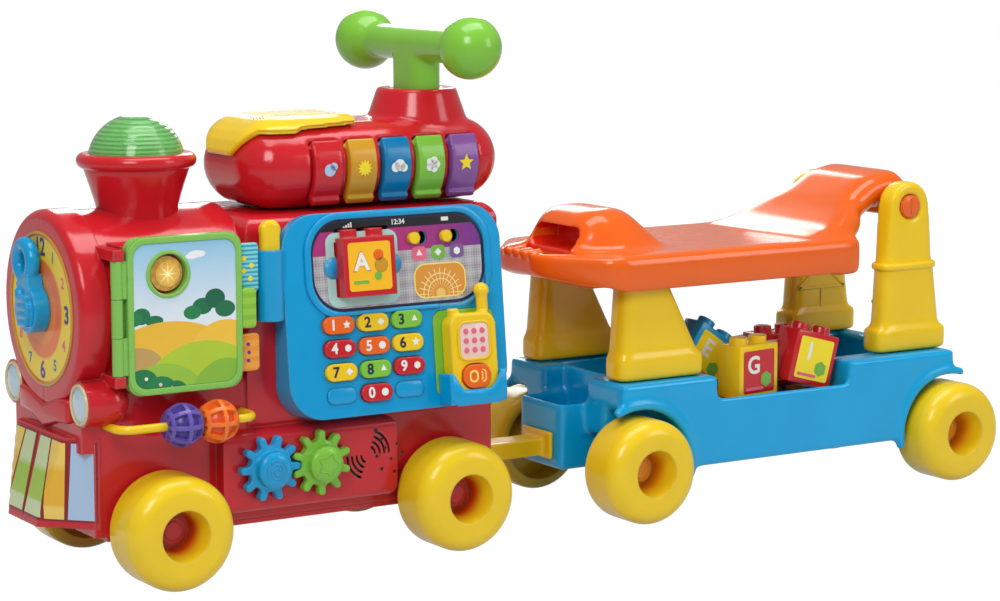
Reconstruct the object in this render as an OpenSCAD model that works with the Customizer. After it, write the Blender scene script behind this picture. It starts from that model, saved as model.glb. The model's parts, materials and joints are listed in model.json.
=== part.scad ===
// Ride-on activity train: a locomotive with play controls, and a wagon with a flip-up seat.
// Front faces -X, the side with the controls faces -Y, the floor is at Z = 0.

/* [Train layout] */
// Nose of the plow to the front axle
nose_overhang = 81; // [78:1:86]
// Locomotive front axle to rear axle
loco_wheelbase = 238; // [234:1:246]
// Locomotive rear axle to wagon front axle
coupling_gap = 172; // [165:1:190]
// Wagon front axle to rear axle
wagon_wheelbase = 320; // [316:1:330]
// Gap between pieces that slide or turn past each other
running_gap = 0.3; // [0.2:0.05:0.4]
// Radial gap of a pin in its bore
pin_gap = 0.06; // [0.03:0.01:0.1]

/* [Wheels] */
// Wheel diameter
wheel_d = 84; // [80:1:88]
// Wheel width
wheel_w = 45; // [42:1:47]
// Distance between the middle planes of a pair of wheels
track = 168; // [166:1:174]
// Radius of the outer tread corner
tread_r = 13; // [8:1:15]
// Radius of the inner tread corner
tread_back_r = 7; // [4:1:9]
// Hub recess diameter at its mouth
hub_mouth_d = 38; // [34:1:40]
// Hub recess diameter at its floor
hub_floor_d = 26; // [24:1:30]
// Hub recess depth
hub_depth = 26; // [22:1:28]
// Wall between the hub recess and the hollow back
web_t = 4; // [3:0.5:6]
// Axle diameter
axle_d = 8; // [6:0.5:9]
// Axle cap diameter
cap_d = 20; // [16:1:22]
// Axle cap thickness
cap_t = 4; // [3:0.5:6]

/* [Locomotive body] */
// Boiler diameter
boiler_d = 140; // [136:1:142]
// Boiler axis above the axle line
boiler_h = 156; // [154:1:158]
// Boiler front wall ahead of the front axle
boiler_front = 62; // [60:1:63]
// Boiler front wall thickness
boiler_face_t = 6; // [4:0.5:8]
// Width of the round shoulder about the clock
bezel_w = 13.5; // [11:0.5:15]
// Shell wall
wall = 3; // [2.5:0.5:3.5]
// Gap between the two shells
split_gap = 0.2; // [0.1:0.05:0.4]
// Side gap between a wheel and the chassis
wheel_side_gap = 1.5; // [1:0.1:2]
// Bottom of the body below the axle line
belly_drop = 4; // [3:0.5:5]
// Chassis top above the axle line
chassis_h = 108; // [104:1:112]
// Chassis corner radius
chassis_r = 10; // [6:1:12]
// Diameter of the bosses that carry an axle
boss_d = 24; // [20:1:28]
// Side bulge beyond the chassis wall
bulge_out = 12; // [11:0.5:13]
// Side bulge bottom above the axle line
bulge_z = 2; // [0:1:4]
// Side bulge height
bulge_h = 62; // [60:1:63]
// Side bulge edge radius
bulge_r = 9; // [6:1:11]
// Cab front behind the front axle
cab_front = 72; // [70:1:74]
// Cab overhang behind the rear axle
cab_overhang = 50; // [48:1:54]
// Cab width
cab_w = 124; // [122:1:128]
// Cab floor above the axle line
cab_floor = 56; // [52:1:60]
// Cab top above the axle line
cab_h = 220; // [219:1:223]
// Cab corner radius
cab_r = 14; // [10:1:18]
// Plow bottom above the axle line
plow_z = 2; // [0:1:5]
// Plow height
plow_h = 66; // [60:1:68]
// Plow corners behind its nose
plow_sweep = 34; // [30:1:38]
// How far the plow leans back at its top
plow_lean = 16; // [13:1:18]
// Half width of the flat of the plow's nose
plow_flat = 26; // [22:1:30]
// How far the plow stands out of the chassis sides
plow_out = 1; // [0.5:0.1:1.2]
// Headlamp pod diameter
pod_d = 33; // [31:1:34]
// Headlamp pod distance from the middle plane
pod_y = 60; // [57:1:62]
// Headlamp pod above the axle line
pod_z = 94; // [91:1:97]

/* [Roof and handle] */
// Roof radius in cross section
roof_r = 31.5; // [30:0.5:33]
// Roof width
roof_w = 108; // [104:1:112]
// Roof front behind the front axle
roof_front = 84; // [80:1:86]
// Roof overhang behind the rear axle
roof_overhang = 68; // [64:1:70]
// Roof wall
roof_wall = 8; // [7.5:0.5:9]
// Piano key width
piano_w = 23; // [21:0.5:24]
// Distance between piano keys
piano_pitch = 29.6; // [29:0.1:30]
// First piano key behind the roof front
piano_first = 61; // [60:1:64]
// Upper end of a piano key, in degrees about the roof's edge axis
piano_top_a = 36; // [32:1:38]
// Lower end of a piano key, in degrees about the roof's edge axis
piano_low_a = 48; // [44:1:50]
// How far a piano key stands out of the roof
piano_proud = 4; // [3:0.5:5]
// Piano key thickness
piano_t = 8.5; // [7.5:0.5:9]
// Piano key pin diameter
piano_pin_d = 3; // [2:0.5:3]
// Visor thickness
visor_t = 3.4; // [3:0.2:4.5]
// Visor length
visor_l = 98; // [94:1:102]
// Handle cone diameter at its foot
cone_low_d = 86; // [80:1:90]
// Handle cone diameter at its top
cone_top_d = 61; // [58:1:66]
// Handle cone height above the roof
cone_h = 22; // [18:1:26]
// Handle post length across the train
post_w = 46; // [42:1:48]
// Handle post length along the train
post_t = 26; // [24:1:30]
// Depth of the handle post in its socket
post_sunk = 20; // [16:1:24]
// Handle bar height above the top of its cone
handle_rise = 33.7; // [30:0.1:37]
// Handle bar diameter
handle_d = 27; // [25:1:30]
// Handle ball diameter
handle_ball_d = 48; // [44:1:50]
// Distance between the handle balls
handle_span = 160; // [150:1:170]
// Handle cone centre ahead of the roof's rear end
handle_set = 52.5; // [51:0.5:55]

/* [Funnel] */
// Funnel behind the front axle
funnel_x = 15; // [12:1:16]
// Funnel diameter at its foot
funnel_foot_d = 70; // [66:1:74]
// Funnel rim diameter
funnel_rim_d = 88; // [85:1:90]
// Funnel rim thickness
funnel_rim_t = 11; // [9:1:13]
// Funnel top above the boiler's top
funnel_h = 40; // [38:1:44]
// Lamp dome diameter
dome_d = 70; // [66:1:72]
// Lamp dome height
dome_h = 28; // [26:1:30]
// Lamp dome wall
dome_wall = 2.5; // [2:0.5:3]

/* [Clock] */
// Clock hand length to its finger ring
hand_l = 36; // [33:1:38]
// Clock hand tilt from upright
hand_a = 20; // [0:5:40]
// Clock hand thickness
hand_t = 12; // [10:1:13]
// Clock hand hub diameter
hand_hub_d = 34; // [30:1:38]
// Finger ring middle diameter
ring_d = 25; // [23:1:27]
// Finger ring thickness
ring_t = 11; // [9:0.5:12]
// Clock hand shaft diameter
hand_shaft_d = 8; // [6:1:10]

/* [Book] */
// Book hinge ahead of the front axle
book_hinge_x = 38; // [37:0.5:39]
// Book cover width beyond the hinge
book_w = 97; // [94:1:98]
// Book cover height
book_h = 113; // [110:1:114]
// Book bottom above the axle line
book_z = 100; // [99:1:102]
// Book cover thickness
cover_t = 4.5; // [4:0.5:5]
// Book leaf thickness
leaf_t = 2.5; // [2:0.5:3]
// Book corner radius
book_r = 10; // [6:1:12]
// Book pad distance from the middle plane
pad_y = 73; // [72.5:0.5:74]
// Book spine diameter
spine_d = 8.4; // [8:0.2:9]
// Book spine length
spine_l = 82; // [78:1:84]
// Book pin diameter
book_pin_d = 3.6; // [3:0.2:4]
// Book lamp diameter
lamp_d = 25; // [23:1:27]
// Gap between the book lamp and its window
lamp_gap = 2; // [1.5:0.1:3]
// Book lamp behind the front axle
lamp_x = 1; // [-1:1:3]
// Book lamp above the axle line
lamp_z = 186; // [184:1:188]
// Length of the leaf's tabs beyond the cover
tab_l = 15; // [10:1:16]

/* [Bead rod and gears] */
// Bead rod diameter
rod_d = 6.4; // [5:0.2:7]
// Bead rod length between its bends
rod_l = 108; // [104:1:109]
// Bead rod front end ahead of the front axle
rod_front = 40; // [39:1:42]
// Bead rod above the axle line
rod_z = 77; // [76:1:79]
// Bead rod beyond the chassis wall
rod_out = 25; // [24:0.5:27]
// Radius of the bead rod's bends
rod_bend_r = 12; // [9:1:14]
// Bead diameter
bead_d = 32; // [28:1:33]
// Bead length
bead_l = 26; // [22:1:27]
// Orange bead's distance from the rod's rear bend
bead_end = 7; // [5:1:7]
// Gap between the two beads
bead_part = 2; // [1:0.5:3]
// Distance between the two gears
gear_gap = 42.4; // [42:0.1:43]
// Blue gear behind the front axle
gear_x = 82; // [80:1:84]
// Gears above the axle line
gear_z = 36; // [34:1:38]
// Gear tooth diameter
tooth_d = 5.6; // [5:0.1:5.8]
// Gear plate thickness
gear_t = 8; // [7:0.5:10]
// Gear hub diameter
gear_hub_d = 27; // [24:1:30]
// Gear hub height
gear_hub_h = 8; // [6:0.5:10]
// Gear pin diameter
gear_pin_d = 8; // [6:1:10]

/* [Console] */
// Console centre behind the front axle
console_x = 189.5; // [188:0.5:191]
// Lower edge of the console above the axle line
console_low = 69; // [68:0.5:70]
// Console face distance from the middle plane at its centre
console_y = 79; // [78.5:0.5:80]
// Lean of the console face
console_a = 6.5; // [6:0.5:7]
// Console width
console_w = 188; // [187:1:190]
// Console height
console_h = 152; // [151:1:154]
// Console corner radius
console_r = 28; // [24:1:30]
// Console face thickness
face_t = 4; // [3:0.5:4.5]
// Depth of the recess for the screen
screen_t = 1.5; // [1:0.5:2]
// Screen width
screen_w = 148; // [146:1:150]
// Screen height
screen_h = 67; // [66:1:68]
// Screen corner radius
screen_r = 26; // [20:1:30]
// Number key width
key_w = 26; // [24:0.5:26.5]
// Number key height
key_h = 13; // [12:0.5:14]
// Distance between number keys along the train
key_pitch_u = 29; // [29:0.2:30]
// Distance between number keys down the face
key_pitch_v = 17.5; // [17.2:0.1:17.8]
// How far a number key stands out
key_proud = 3.5; // [2.5:0.5:4]
// Number key travel
key_travel = 2; // [1:0.5:2.5]
// Slider knob diameter
knob_d = 9; // [8:0.5:10]
// Slider travel
slider_travel = 8; // [6:1:9]
// Letter block side
block_w = 44; // [42:1:45]
// Letter block thickness
block_t = 26; // [24:1:27]
// Letter block stud diameter
stud_d = 15; // [12:1:16]
// Letter block stud height
stud_h = 6; // [4:0.5:6.5]
// How far the letter block stands out of its slot
block_proud = 11; // [9:1:13]
// Phone width
phone_w = 40; // [38:1:41]
// Phone height
phone_h = 60; // [58:1:61]
// Phone thickness
phone_t = 14; // [12:1:15]
// Phone button width
phone_key_w = 24; // [22:1:26]
// Phone button height
phone_key_h = 18; // [16:1:19]
// Lever ear diameter
ear_d = 20; // [19:0.5:21]
// Lever head diameter
lever_head_d = 16; // [14:1:17]
// Lever thickness
lever_t = 6; // [5:0.5:7]

/* [Wagon] */
// Wagon tub width
tub_w = 168; // [164:1:172]
// Wagon tub wall
tub_wall = 4; // [3:0.5:5]
// Tub side wall height above the axle line
tub_h = 50; // [48:1:54]
// Deck height above the axle line
deck_h = 69; // [67:1:72]
// Tub front ahead of the front axle
tub_front = 42; // [40:1:44]
// Cargo bay length
bay_l = 144; // [144:1:150]
// Cargo bay front behind the front axle
bay_x = 72; // [70:1:74]
// Wheel arch gap about a wheel
arch_gap = 7; // [5:1:8]
// Front fenders ahead of the front axle
fender_front = 18; // [15:1:22]
// Front bin width
bin_w = 62; // [56:1:68]
// Front bin top above the axle line
bin_h = 48; // [44:1:52]
// Seat deck underside above the axle line
seat_low = 140.5; // [139:0.5:143]
// Seat deck height
seat_t = 31; // [29:1:33]
// Seat wall
seat_wall = 4; // [3:0.5:5]
// Seat width
seat_w = 166; // [162:1:170]
// Width of the finger slot in the seat grip
grip_slot_w = 64; // [60:1:68]
// Seat back width
back_w = 98; // [94:1:98.5]
// Seat pivot ahead of the rear axle
pivot_set = 34; // [33:0.5:35]
// Seat pivot above the axle line
pivot_h = 192.5; // [191:0.5:194]
// Seat pivot diameter
pivot_d = 20; // [18:1:22]
// Rear post head diameter
post_head_d = 42; // [40:1:46]
// Rear posts' outer faces from the middle plane
rear_post_y = 71; // [69:1:73]
// Rear post thickness across the train
rear_post_t = 21; // [19:0.5:22]
// Rear posts' feet above the deck
rear_band_h = 76; // [74:1:78]
// Front posts' outer faces from the middle plane
front_post_y = 76; // [74:1:78]
// Front post thickness across the train
front_post_t = 29; // [26:1:31]
// Hitch pin diameter
hitch_d = 10; // [8:1:12]
// Hitch pin behind the locomotive's rear axle
hitch_overhang = 62; // [61:1:64]
// Drawbar height
drawbar_h = 14; // [12:1:16]
// Wall of the drawbar eye round the hitch pin
drawbar_eye_t = 8; // [7:0.5:9]

/* [Hidden] */
$fn = 64;

red = [0.78, 0.09, 0.12];
yellow = [0.95, 0.80, 0.15];
blue = [0.10, 0.58, 0.82];
green = [0.45, 0.72, 0.25];
orange = [0.95, 0.45, 0.10];
purple = [0.45, 0.25, 0.62];
steel = [0.75, 0.75, 0.77];
black = [0.12, 0.12, 0.13];

// Long reach of a cutting tool
reach = 400;
// Small overlap so that joined solids share volume
bite = 0.5;

// Places along the train
train_l = nose_overhang + loco_wheelbase + coupling_gap + wagon_wheelbase + wheel_d / 2;
axle_z = wheel_d / 2;
loco_x = nose_overhang - train_l / 2;
wagon_x = loco_x + loco_wheelbase + coupling_gap;
wheel_in = (track - wheel_w) / 2;
wheel_out = (track + wheel_w) / 2;
hub_floor_y = wheel_out - hub_depth;
axle_bore_d = axle_d + 2 * pin_gap;

// Body
chassis_hw = wheel_in - wheel_side_gap;
chassis_front = -50;
cab_hw = cab_w / 2;
cab_rear = loco_wheelbase + cab_overhang;
chassis_rear = cab_rear - 4;
bulge_y = chassis_hw + bulge_out;
bulge_x0 = wheel_d / 2 + 5;
bulge_x1 = loco_wheelbase - wheel_d / 2 - 3;
bezel_d = boiler_d + 4;
bezel_len = 16;
pod_front = boiler_front - 2;
pod_rear = 40;
axle_at = [0, loco_wheelbase];
speaker_d = 42;
speaker_x = bulge_x1 - wall - speaker_d / 2 - 1;
tray_t = 3.7;
tray_top = -belly_drop - running_gap;
tray_low = tray_top - tray_t;
battery_x = bulge_x0 + 25;
battery_l = 86;
battery_w = 60;
battery_h = 22;
door_lip = 3;
door_t = 2;
tongue_w = 30;
tongue_top = tray_low + 12;

// Roof
roof_rear = loco_wheelbase + roof_overhang;
roof_z = cab_h + running_gap + roof_r;
roof_edge_y = roof_w / 2 - roof_r;
piano_x = roof_front + piano_first;
// Lower edge of the visor, as parts of its length and of the roof's radius
visor_edge = [[0, 0.28], [0.12, 0.32], [0.32, 0.68], [0.52, 0.9], [1, 0.97]];
piano_hinge_a = 30;
piano_hinge_r = roof_r - 2;
handle_x = roof_rear - handle_set;
cone_top = roof_z + roof_r + cone_h;
handle_h = cone_top + handle_rise;
funnel_z = boiler_h + boiler_d / 2;

// Book
book_hinge_y = pad_y + running_gap * 2 + leaf_t + cover_t / 2;
leaf_y = pad_y + running_gap;
cover_y = leaf_y + leaf_t + running_gap;
book_x0 = 7;
spine_z = book_z + (book_h - spine_l) / 2;
ear_z_h = 8;
leaf_spine = spine_l / 3;
tab_h = book_h / 4;

// Console
console_back = cab_hw + 0.2;
console_over = 1;
// Stretch of the console up its face, so that it fills the cab side
console_stretch = (cab_h + console_over - console_low) / console_h;
console_z = console_low + console_stretch * console_h / 2;
screen_u = 4;
screen_v = 36.5;
block_u = -27;
block_v = 35;
pocket_wall = 2;
pocket_side = 1;
pocket_h = block_w + stud_h + 2 * pocket_side;
pocket_w = block_w + 2 * pocket_side;
pocket_v = block_v + stud_h / 2;
pocket_depth = block_t - block_proud + running_gap;
key_u = -22.5;
key_v = -7;
key_flange = 1;
key_flange_t = 2.7;
key_r = key_h / 2 - 0.1;
slider_v = 53;
mode_u = 17;
volume_u = 45;
phone_u = 57;
phone_v = -36;
phone_lift = running_gap;
cup_low = phone_v - phone_h / 2 - 6;
cup_wall = 3;
// The cup stays below the phone's button
cup_lip = 2.6;
phone_key_v = phone_v - phone_h / 2 + phone_key_h / 2 + 3;
phone_key_depth = 7;
cradle_w = phone_w + 14;
cradle_h = phone_h + 6;
cradle_t = 3;
board_z = 22.4;
board_t = 1.6;
board_w = 148;
board_h = 108;
board_v = -2;
board_posts = [[-70, 44], [70, 40], [-70, -50], [22, -53]];
lever_x = console_x - console_w / 2 - 9;
lever_z = cab_h - 45;
lever_y = console_back + ear_d / 2;
lever_top = cab_h - 9;
lever_stem = 7;
lever_pin_d = 5;

// Orange bead behind the rod's front end
bead_x = rod_l - rod_bend_r - bead_l / 2 - bead_end;

// Gears, with an even number of teeth
gear_teeth = 10;
gear_pitch_r = gear_gap / 2;
tooth_r0 = gear_pitch_r + 0.8;
gear_root_d = 2 * (gear_gap - tooth_r0 - tooth_d / 2 - 0.5);
gear_back = bulge_y + running_gap;

// Wagon
tub_hw = tub_w / 2;
tub_bottom = -belly_drop;
tub_floor = tub_bottom + tub_wall;
bay_x1 = bay_x + bay_l;
tub_rear = wagon_wheelbase + 6;
bin_rear = 4;
arch_d = wheel_d + 2 * arch_gap;
arch_y = wheel_in - 3;
trough_hw = arch_y - tub_wall;
pivot_x = wagon_wheelbase - pivot_set;
hitch_x = loco_wheelbase + hitch_overhang;
hitch_from_wagon = hitch_overhang - coupling_gap;
seat_top = seat_low + seat_t;
seat_front = -64;
nose_l = 50;
nose_rise = 12;
// Middle line of the seat's back, from the deck up and over the pivot, and how far its sides flare there
back_curve = [[-104, -32, 29], [-76, -25, 27], [-56, -13, 17], [-42, -3, 0], [-20, 11, 0], [2, 16, 0],
              [16, 3, 0]];
post_r = 9;
// Middle height of the lower layer of blocks, and the height of the layer on top of it
stack_z = tub_floor + running_gap + block_w / 2;
pile_z = stack_z + block_w / 2 + running_gap;
mid_x = bay_x + bay_l / 2;
seat_wide_rear = pivot_x - 60;
seat_hw = seat_w / 2;
back_hw = back_w / 2;

// Frames of the two vehicles, each with its front axle at the origin
module at_loco() { translate([loco_x, 0, axle_z]) children(); }
module at_wagon() { translate([wagon_x, 0, axle_z]) children(); }
// Frame of the console face: u along the train, v up the face, z outwards
module at_console() {
  translate([console_x, -console_y, console_z]) rotate([90 - console_a, 0, 0])
    scale([1, console_stretch, 1]) children();
}
module along_x(d, l) { rotate([0, 90, 0]) cylinder(d = d, h = l); }
module to_left(d, l) { rotate([90, 0, 0]) cylinder(d = d, h = l); }
module across(d, l) { rotate([90, 0, 0]) cylinder(d = d, h = l, center = true); }
module box(low, high) { translate(low) cube(high - low); }
module both_sides() {
  children();
  mirror([0, 1, 0]) children();
}
module soft_rect(w, h, r) {
  square([w - 2 * r, h], center = true);
  square([w, h - 2 * r], center = true);
  for (x = [-1, 1], y = [-1, 1]) translate([x * (w / 2 - r), y * (h / 2 - r)]) circle(r);
}
module soft_plate(w, h, r, z0, z1) { translate([0, 0, z0]) linear_extrude(z1 - z0) soft_rect(w, h, r); }
// Block with its edges along X and along Y rounded
module soft_block(low, high, r) {
  size = high - low;
  translate((low + high) / 2) intersection() {
    rotate([90, 0, 0]) linear_extrude(size.y, center = true) soft_rect(size.x, size.z, r);
    rotate([90, 0, 90]) linear_extrude(size.x, center = true) soft_rect(size.y, size.z, r);
  }
}
// Part of a ring about X, from angle a0 to a1 above the -Y direction
module ring_part(r0, r1, w, a0, a1) {
  rotate([0, 90, 0]) rotate([0, 0, 270 - a1]) rotate_extrude(angle = a1 - a0)
    translate([r0, -w / 2]) square([r1 - r0, w]);
}

// Wheels and axles
module wheel_profile() {
  r = wheel_d / 2;
  translate([0, -wheel_w / 2]) square([r - tread_back_r, wheel_w - tread_r]);
  translate([0, -wheel_w / 2]) square([r - tread_r, wheel_w]);
  translate([0, tread_back_r - wheel_w / 2]) square([r, wheel_w - tread_r - tread_back_r]);
  translate([r - tread_r, wheel_w / 2 - tread_r]) circle(tread_r);
  translate([r - tread_back_r, tread_back_r - wheel_w / 2]) circle(tread_back_r);
}
module wheel() {
  face = wheel_w / 2;
  floor_h = face - hub_depth;
  back_r0 = hub_mouth_d / 2;
  back_r1 = wheel_d / 2 - tread_r + web_t;
  color(yellow) rotate_extrude() difference() {
    wheel_profile();
    polygon([[0, face + 1], [hub_mouth_d / 2, face + 1], [hub_mouth_d / 2, face],
             [hub_floor_d / 2, floor_h], [0, floor_h]]);
    translate([0, -wheel_w]) square([axle_bore_d / 2, 2 * wheel_w]);
    translate([back_r0, -face - 1]) square([back_r1 - back_r0, floor_h + face + 1 + web_t]);
  }
}
module left_wheel(x) { translate([x, -track / 2, 0]) rotate([90, 0, 0]) wheel(); }
module right_wheel(x) { translate([x, track / 2, 0]) rotate([-90, 0, 0]) wheel(); }
module axle(x) {
  cap_y = hub_floor_y + running_gap;
  translate([x, 0, 0]) {
    across(axle_d, 2 * cap_y + cap_t);
    both_sides() translate([0, -cap_y, 0]) {
      to_left(cap_d, cap_t - 1);
      to_left(cap_d * 0.7, cap_t);
    }
  }
}
module loco_axles() { color(steel) at_loco() for (x = axle_at) axle(x); }
module wagon_axles() { color(steel) at_wagon() for (x = [0, wagon_wheelbase]) axle(x); }
module loco_wheel_front_left() { at_loco() left_wheel(0); }
module loco_wheel_front_right() { at_loco() right_wheel(0); }
module loco_wheel_rear_left() { at_loco() left_wheel(loco_wheelbase); }
module loco_wheel_rear_right() { at_loco() right_wheel(loco_wheelbase); }
module wagon_wheel_front_left() { at_wagon() left_wheel(0); }
module wagon_wheel_front_right() { at_wagon() right_wheel(0); }
module wagon_wheel_rear_left() { at_wagon() left_wheel(wagon_wheelbase); }
module wagon_wheel_rear_right() { at_wagon() right_wheel(wagon_wheelbase); }

// Locomotive body
module plow() {
  back = chassis_front + chassis_r / 2;
  side = plow_sweep - nose_overhang;
  hw = chassis_hw + plow_out;
  top = plow_z + plow_h;
  intersection() {
    translate([0, 0, plow_z]) linear_extrude(plow_h)
      polygon([[-nose_overhang, -plow_flat], [side, -hw], [back, -hw],
               [back, hw], [side, hw], [-nose_overhang, plow_flat]]);
    rotate([90, 0, 0]) linear_extrude(2 * hw + 2, center = true)
      polygon([[-nose_overhang, plow_z], [back, plow_z], [back, top], [plow_lean - nose_overhang, top]]);
  }
}
module headlamp_pod() {
  l = pod_front - pod_rear;
  translate([-pod_front, -pod_y, pod_z]) rotate([0, 90, 0]) rotate_extrude() intersection() {
    square([pod_d, 2 * pod_d]);
    union() {
      square([pod_d / 2, l]);
      translate([0, l]) circle(d = pod_d);
    }
  }
}
// Boiler with a round shoulder about its front wall
module boiler() {
  edge = bezel_w / 2;
  l = boiler_front + cab_front + wall;
  translate([-boiler_front, 0, boiler_h]) rotate([0, 90, 0]) rotate_extrude() {
    square([bezel_d / 2 - edge, l]);
    translate([0, edge]) square([bezel_d / 2, bezel_len]);
    translate([0, edge]) square([boiler_d / 2, l - edge]);
    translate([bezel_d / 2 - edge, edge]) circle(edge);
  }
}
// Chassis with a square lower edge
module chassis() {
  difference() {
    soft_block([chassis_front, -chassis_hw, -belly_drop - chassis_r],
               [chassis_rear, chassis_hw, chassis_h], chassis_r);
    box([-reach, -reach, -reach], [reach, reach, -belly_drop]);
  }
}
module body_form() {
  boiler();
  chassis();
  soft_block([cab_front, -cab_hw, cab_floor], [cab_rear, cab_hw, cab_h], cab_r);
  soft_block([bulge_x0, -bulge_y, bulge_z], [bulge_x1, bulge_y, bulge_z + bulge_h], bulge_r);
  plow();
  box([1 - pod_front, -pod_y, plow_z + plow_h - chassis_r], [-pod_rear, pod_y, pod_z]);
  both_sides() headlamp_pod();
  for (x = axle_at) translate([x, 0, 0]) across(boss_d, 2 * (wheel_in - running_gap));
}
module body_hollow() {
  hw = chassis_hw - wall;
  translate([boiler_face_t - boiler_front, 0, boiler_h])
    along_x(boiler_d - 2 * wall, boiler_front + cab_front - boiler_face_t - wall);
  box([chassis_front + wall * 2, -hw, -boss_d], [chassis_rear - wall, hw, chassis_h - wall * 2]);
  soft_block([cab_front + wall, wall - cab_hw, cab_floor + wall],
             [cab_rear - wall, cab_hw - wall, cab_h - wall], cab_r - wall);
  box([bulge_x0 + bulge_r, wall - bulge_y, bulge_z + bulge_r - wall],
      [bulge_x1 - wall, bulge_y - wall, bulge_z + bulge_h - bulge_r + wall]);
}
module body_bores() {
  for (x = axle_at) translate([x, 0, 0]) across(axle_bore_d, 2 * wheel_in + 2);
  translate([-boiler_front - 1, 0, boiler_h]) along_x(hand_shaft_d + 2 * pin_gap, boiler_face_t + 2);
}
module speaker_slots() {
  translate([speaker_x, -bulge_y + wall + 1, gear_z]) rotate([90, 0, 0]) linear_extrude(wall + 2) {
    for (r = [6, 10, 14, 18]) intersection() {
      difference() {
        circle(r + 1);
        circle(r - 1);
      }
      union() for (s = [0, 180]) rotate(s + 35) polygon([[0, 0], [30, -22], [30, 22]]);
    }
  }
}
module book_mount() {
  pad_x0 = book_x0 - book_hinge_x - 1;
  box([pad_x0, -pad_y, book_z + 6], [book_w - book_hinge_x - 1, 0, book_z + book_h - 6]);
  for (z = [spine_z - running_gap - ear_z_h, spine_z + spine_l + running_gap])
    box([-book_hinge_x - spine_d / 2, -book_hinge_y - spine_d / 2, z],
        [spine_d / 2 - book_hinge_x, 0, z + ear_z_h]);
  translate([-book_hinge_x, -book_hinge_y, spine_z - ear_z_h])
    cylinder(d = book_pin_d, h = spine_l + 2 * ear_z_h);
}
module gear_pins() {
  for (x = [gear_x, gear_x + gear_gap]) translate([x, -bulge_y + wall, gear_z])
    to_left(gear_pin_d, wall + running_gap + gear_t + gear_hub_h / 2);
}
module rod_holes() {
  for (x = [-rod_front, rod_l - rod_front]) translate([x, -chassis_hw + wall + 1, rod_z])
    to_left(rod_d + 2 * pin_gap, rod_out);
}
module console_window() {
  box([console_x - board_w / 2 - 4, -cab_hw - 1, console_z - console_stretch * board_h / 2 - 8],
      [console_x + board_w / 2 + 4, 1 - cab_hw + wall, console_z + console_stretch * board_h / 2 + 12]);
}
module half_space(side) {
  translate([-reach, side < 0 ? -reach - split_gap / 2 : split_gap / 2, -reach])
    cube([2 * reach, reach, 2 * reach]);
}
module body_left_shell() {
  color(red) at_loco() difference() {
    union() {
      difference() {
        intersection() {
          union() {
            body_form();
            book_mount();
          }
          half_space(-1);
        }
        body_hollow();
      }
      gear_pins();
    }
    body_bores();
    rod_holes();
    console_window();
    speaker_slots();
  }
}
module body_right_shell() {
  color(red) at_loco() difference() {
    intersection() {
      body_form();
      half_space(1);
    }
    body_hollow();
    body_bores();
  }
}

// Underside with the battery box and the hitch
module underside_tray() {
  hw = chassis_hw - 1;
  color(red) at_loco() difference() {
    union() {
      box([chassis_front + chassis_r, -hw, tray_low], [chassis_rear, hw, tray_top]);
      box([battery_x - wall, -battery_w / 2 - wall, tray_low],
          [battery_x + battery_l + wall, battery_w / 2 + wall, tray_top + battery_h]);
      box([chassis_rear - bite, -tongue_w / 2, tray_low], [hitch_x, tongue_w / 2, tray_top]);
      box([cab_rear + 1, -tongue_w / 2, tray_low], [hitch_x, tongue_w / 2, tongue_top]);
      translate([hitch_x, 0, tray_low]) cylinder(d = tongue_w, h = tongue_top - tray_low);
      translate([hitch_x, 0, tray_low]) cylinder(d = hitch_d, h = tongue_top + drawbar_h + 4 - tray_low);
    }
    box([battery_x, -battery_w / 2, tray_low - 1],
        [battery_x + battery_l, battery_w / 2, tray_top + battery_h - wall]);
    box([battery_x - door_lip, -battery_w / 2 - door_lip, tray_low - 1],
        [battery_x + battery_l + door_lip, battery_w / 2 + door_lip, tray_low + door_t + running_gap]);
    for (x = axle_at) both_sides() translate([x, -hw + wall, 0])
      to_left(boss_d + 2 * running_gap, wall + 2);
  }
}
module battery_door() {
  color(red) at_loco()
    box([battery_x - door_lip + running_gap, running_gap - battery_w / 2 - door_lip, tray_low],
        [battery_x + battery_l + door_lip - running_gap, battery_w / 2 + door_lip - running_gap,
         tray_low + door_t]);
}

// Roof, visor and handle
module roof_form(r) {
  hull() for (x = [roof_front + roof_r, roof_rear - roof_r], y = [-roof_edge_y, roof_edge_y])
    translate([x, y, roof_z]) sphere(r, $fn = 28);
}
module at_piano(i) { translate([piano_x + i * piano_pitch, -roof_edge_y, roof_z]) children(); }
module piano_pin_place() {
  translate([0, -piano_hinge_r * cos(piano_hinge_a), piano_hinge_r * sin(piano_hinge_a)]) children();
}
module post_outline(gap) {
  square([post_t + 2 * gap, post_w - post_t], center = true);
  for (y = [-1, 1]) translate([0, y * (post_w - post_t) / 2]) circle(d = post_t + 2 * gap);
}
module roof_shell() {
  color(red) at_loco() difference() {
    union() {
      roof_form(roof_r);
      translate([handle_x, 0, roof_z + roof_r - 14])
        cylinder(d1 = cone_low_d, d2 = cone_top_d, h = cone_h + 14);
    }
    roof_form(roof_r - roof_wall);
    translate([handle_x, 0, cone_top - post_sunk])
      linear_extrude(post_sunk + 1) post_outline(running_gap);
    for (i = [0:4]) at_piano(i) {
      ring_part(roof_r - roof_wall - 1, roof_r + 8, piano_w + 2 * running_gap,
                -piano_low_a - 5, piano_top_a + 5);
      piano_pin_place() translate([-piano_w / 2 - 3, 0, 0])
        along_x(piano_pin_d + 2 * pin_gap, piano_w + 6);
    }
  }
}
module roof_visor() {
  front = roof_front - visor_t - 1;
  color(yellow) at_loco() intersection() {
    difference() {
      roof_form(roof_r + visor_t);
      roof_form(roof_r + running_gap / 2);
    }
    translate([0, reach / 2, 0]) rotate([90, 0, 0]) linear_extrude(reach)
      polygon([for (p = visor_edge) [front + p.x * visor_l, roof_z + p.y * roof_r],
               [front + visor_l, roof_z + 2 * roof_r], [front, roof_z + 2 * roof_r]]);
  }
}
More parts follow.
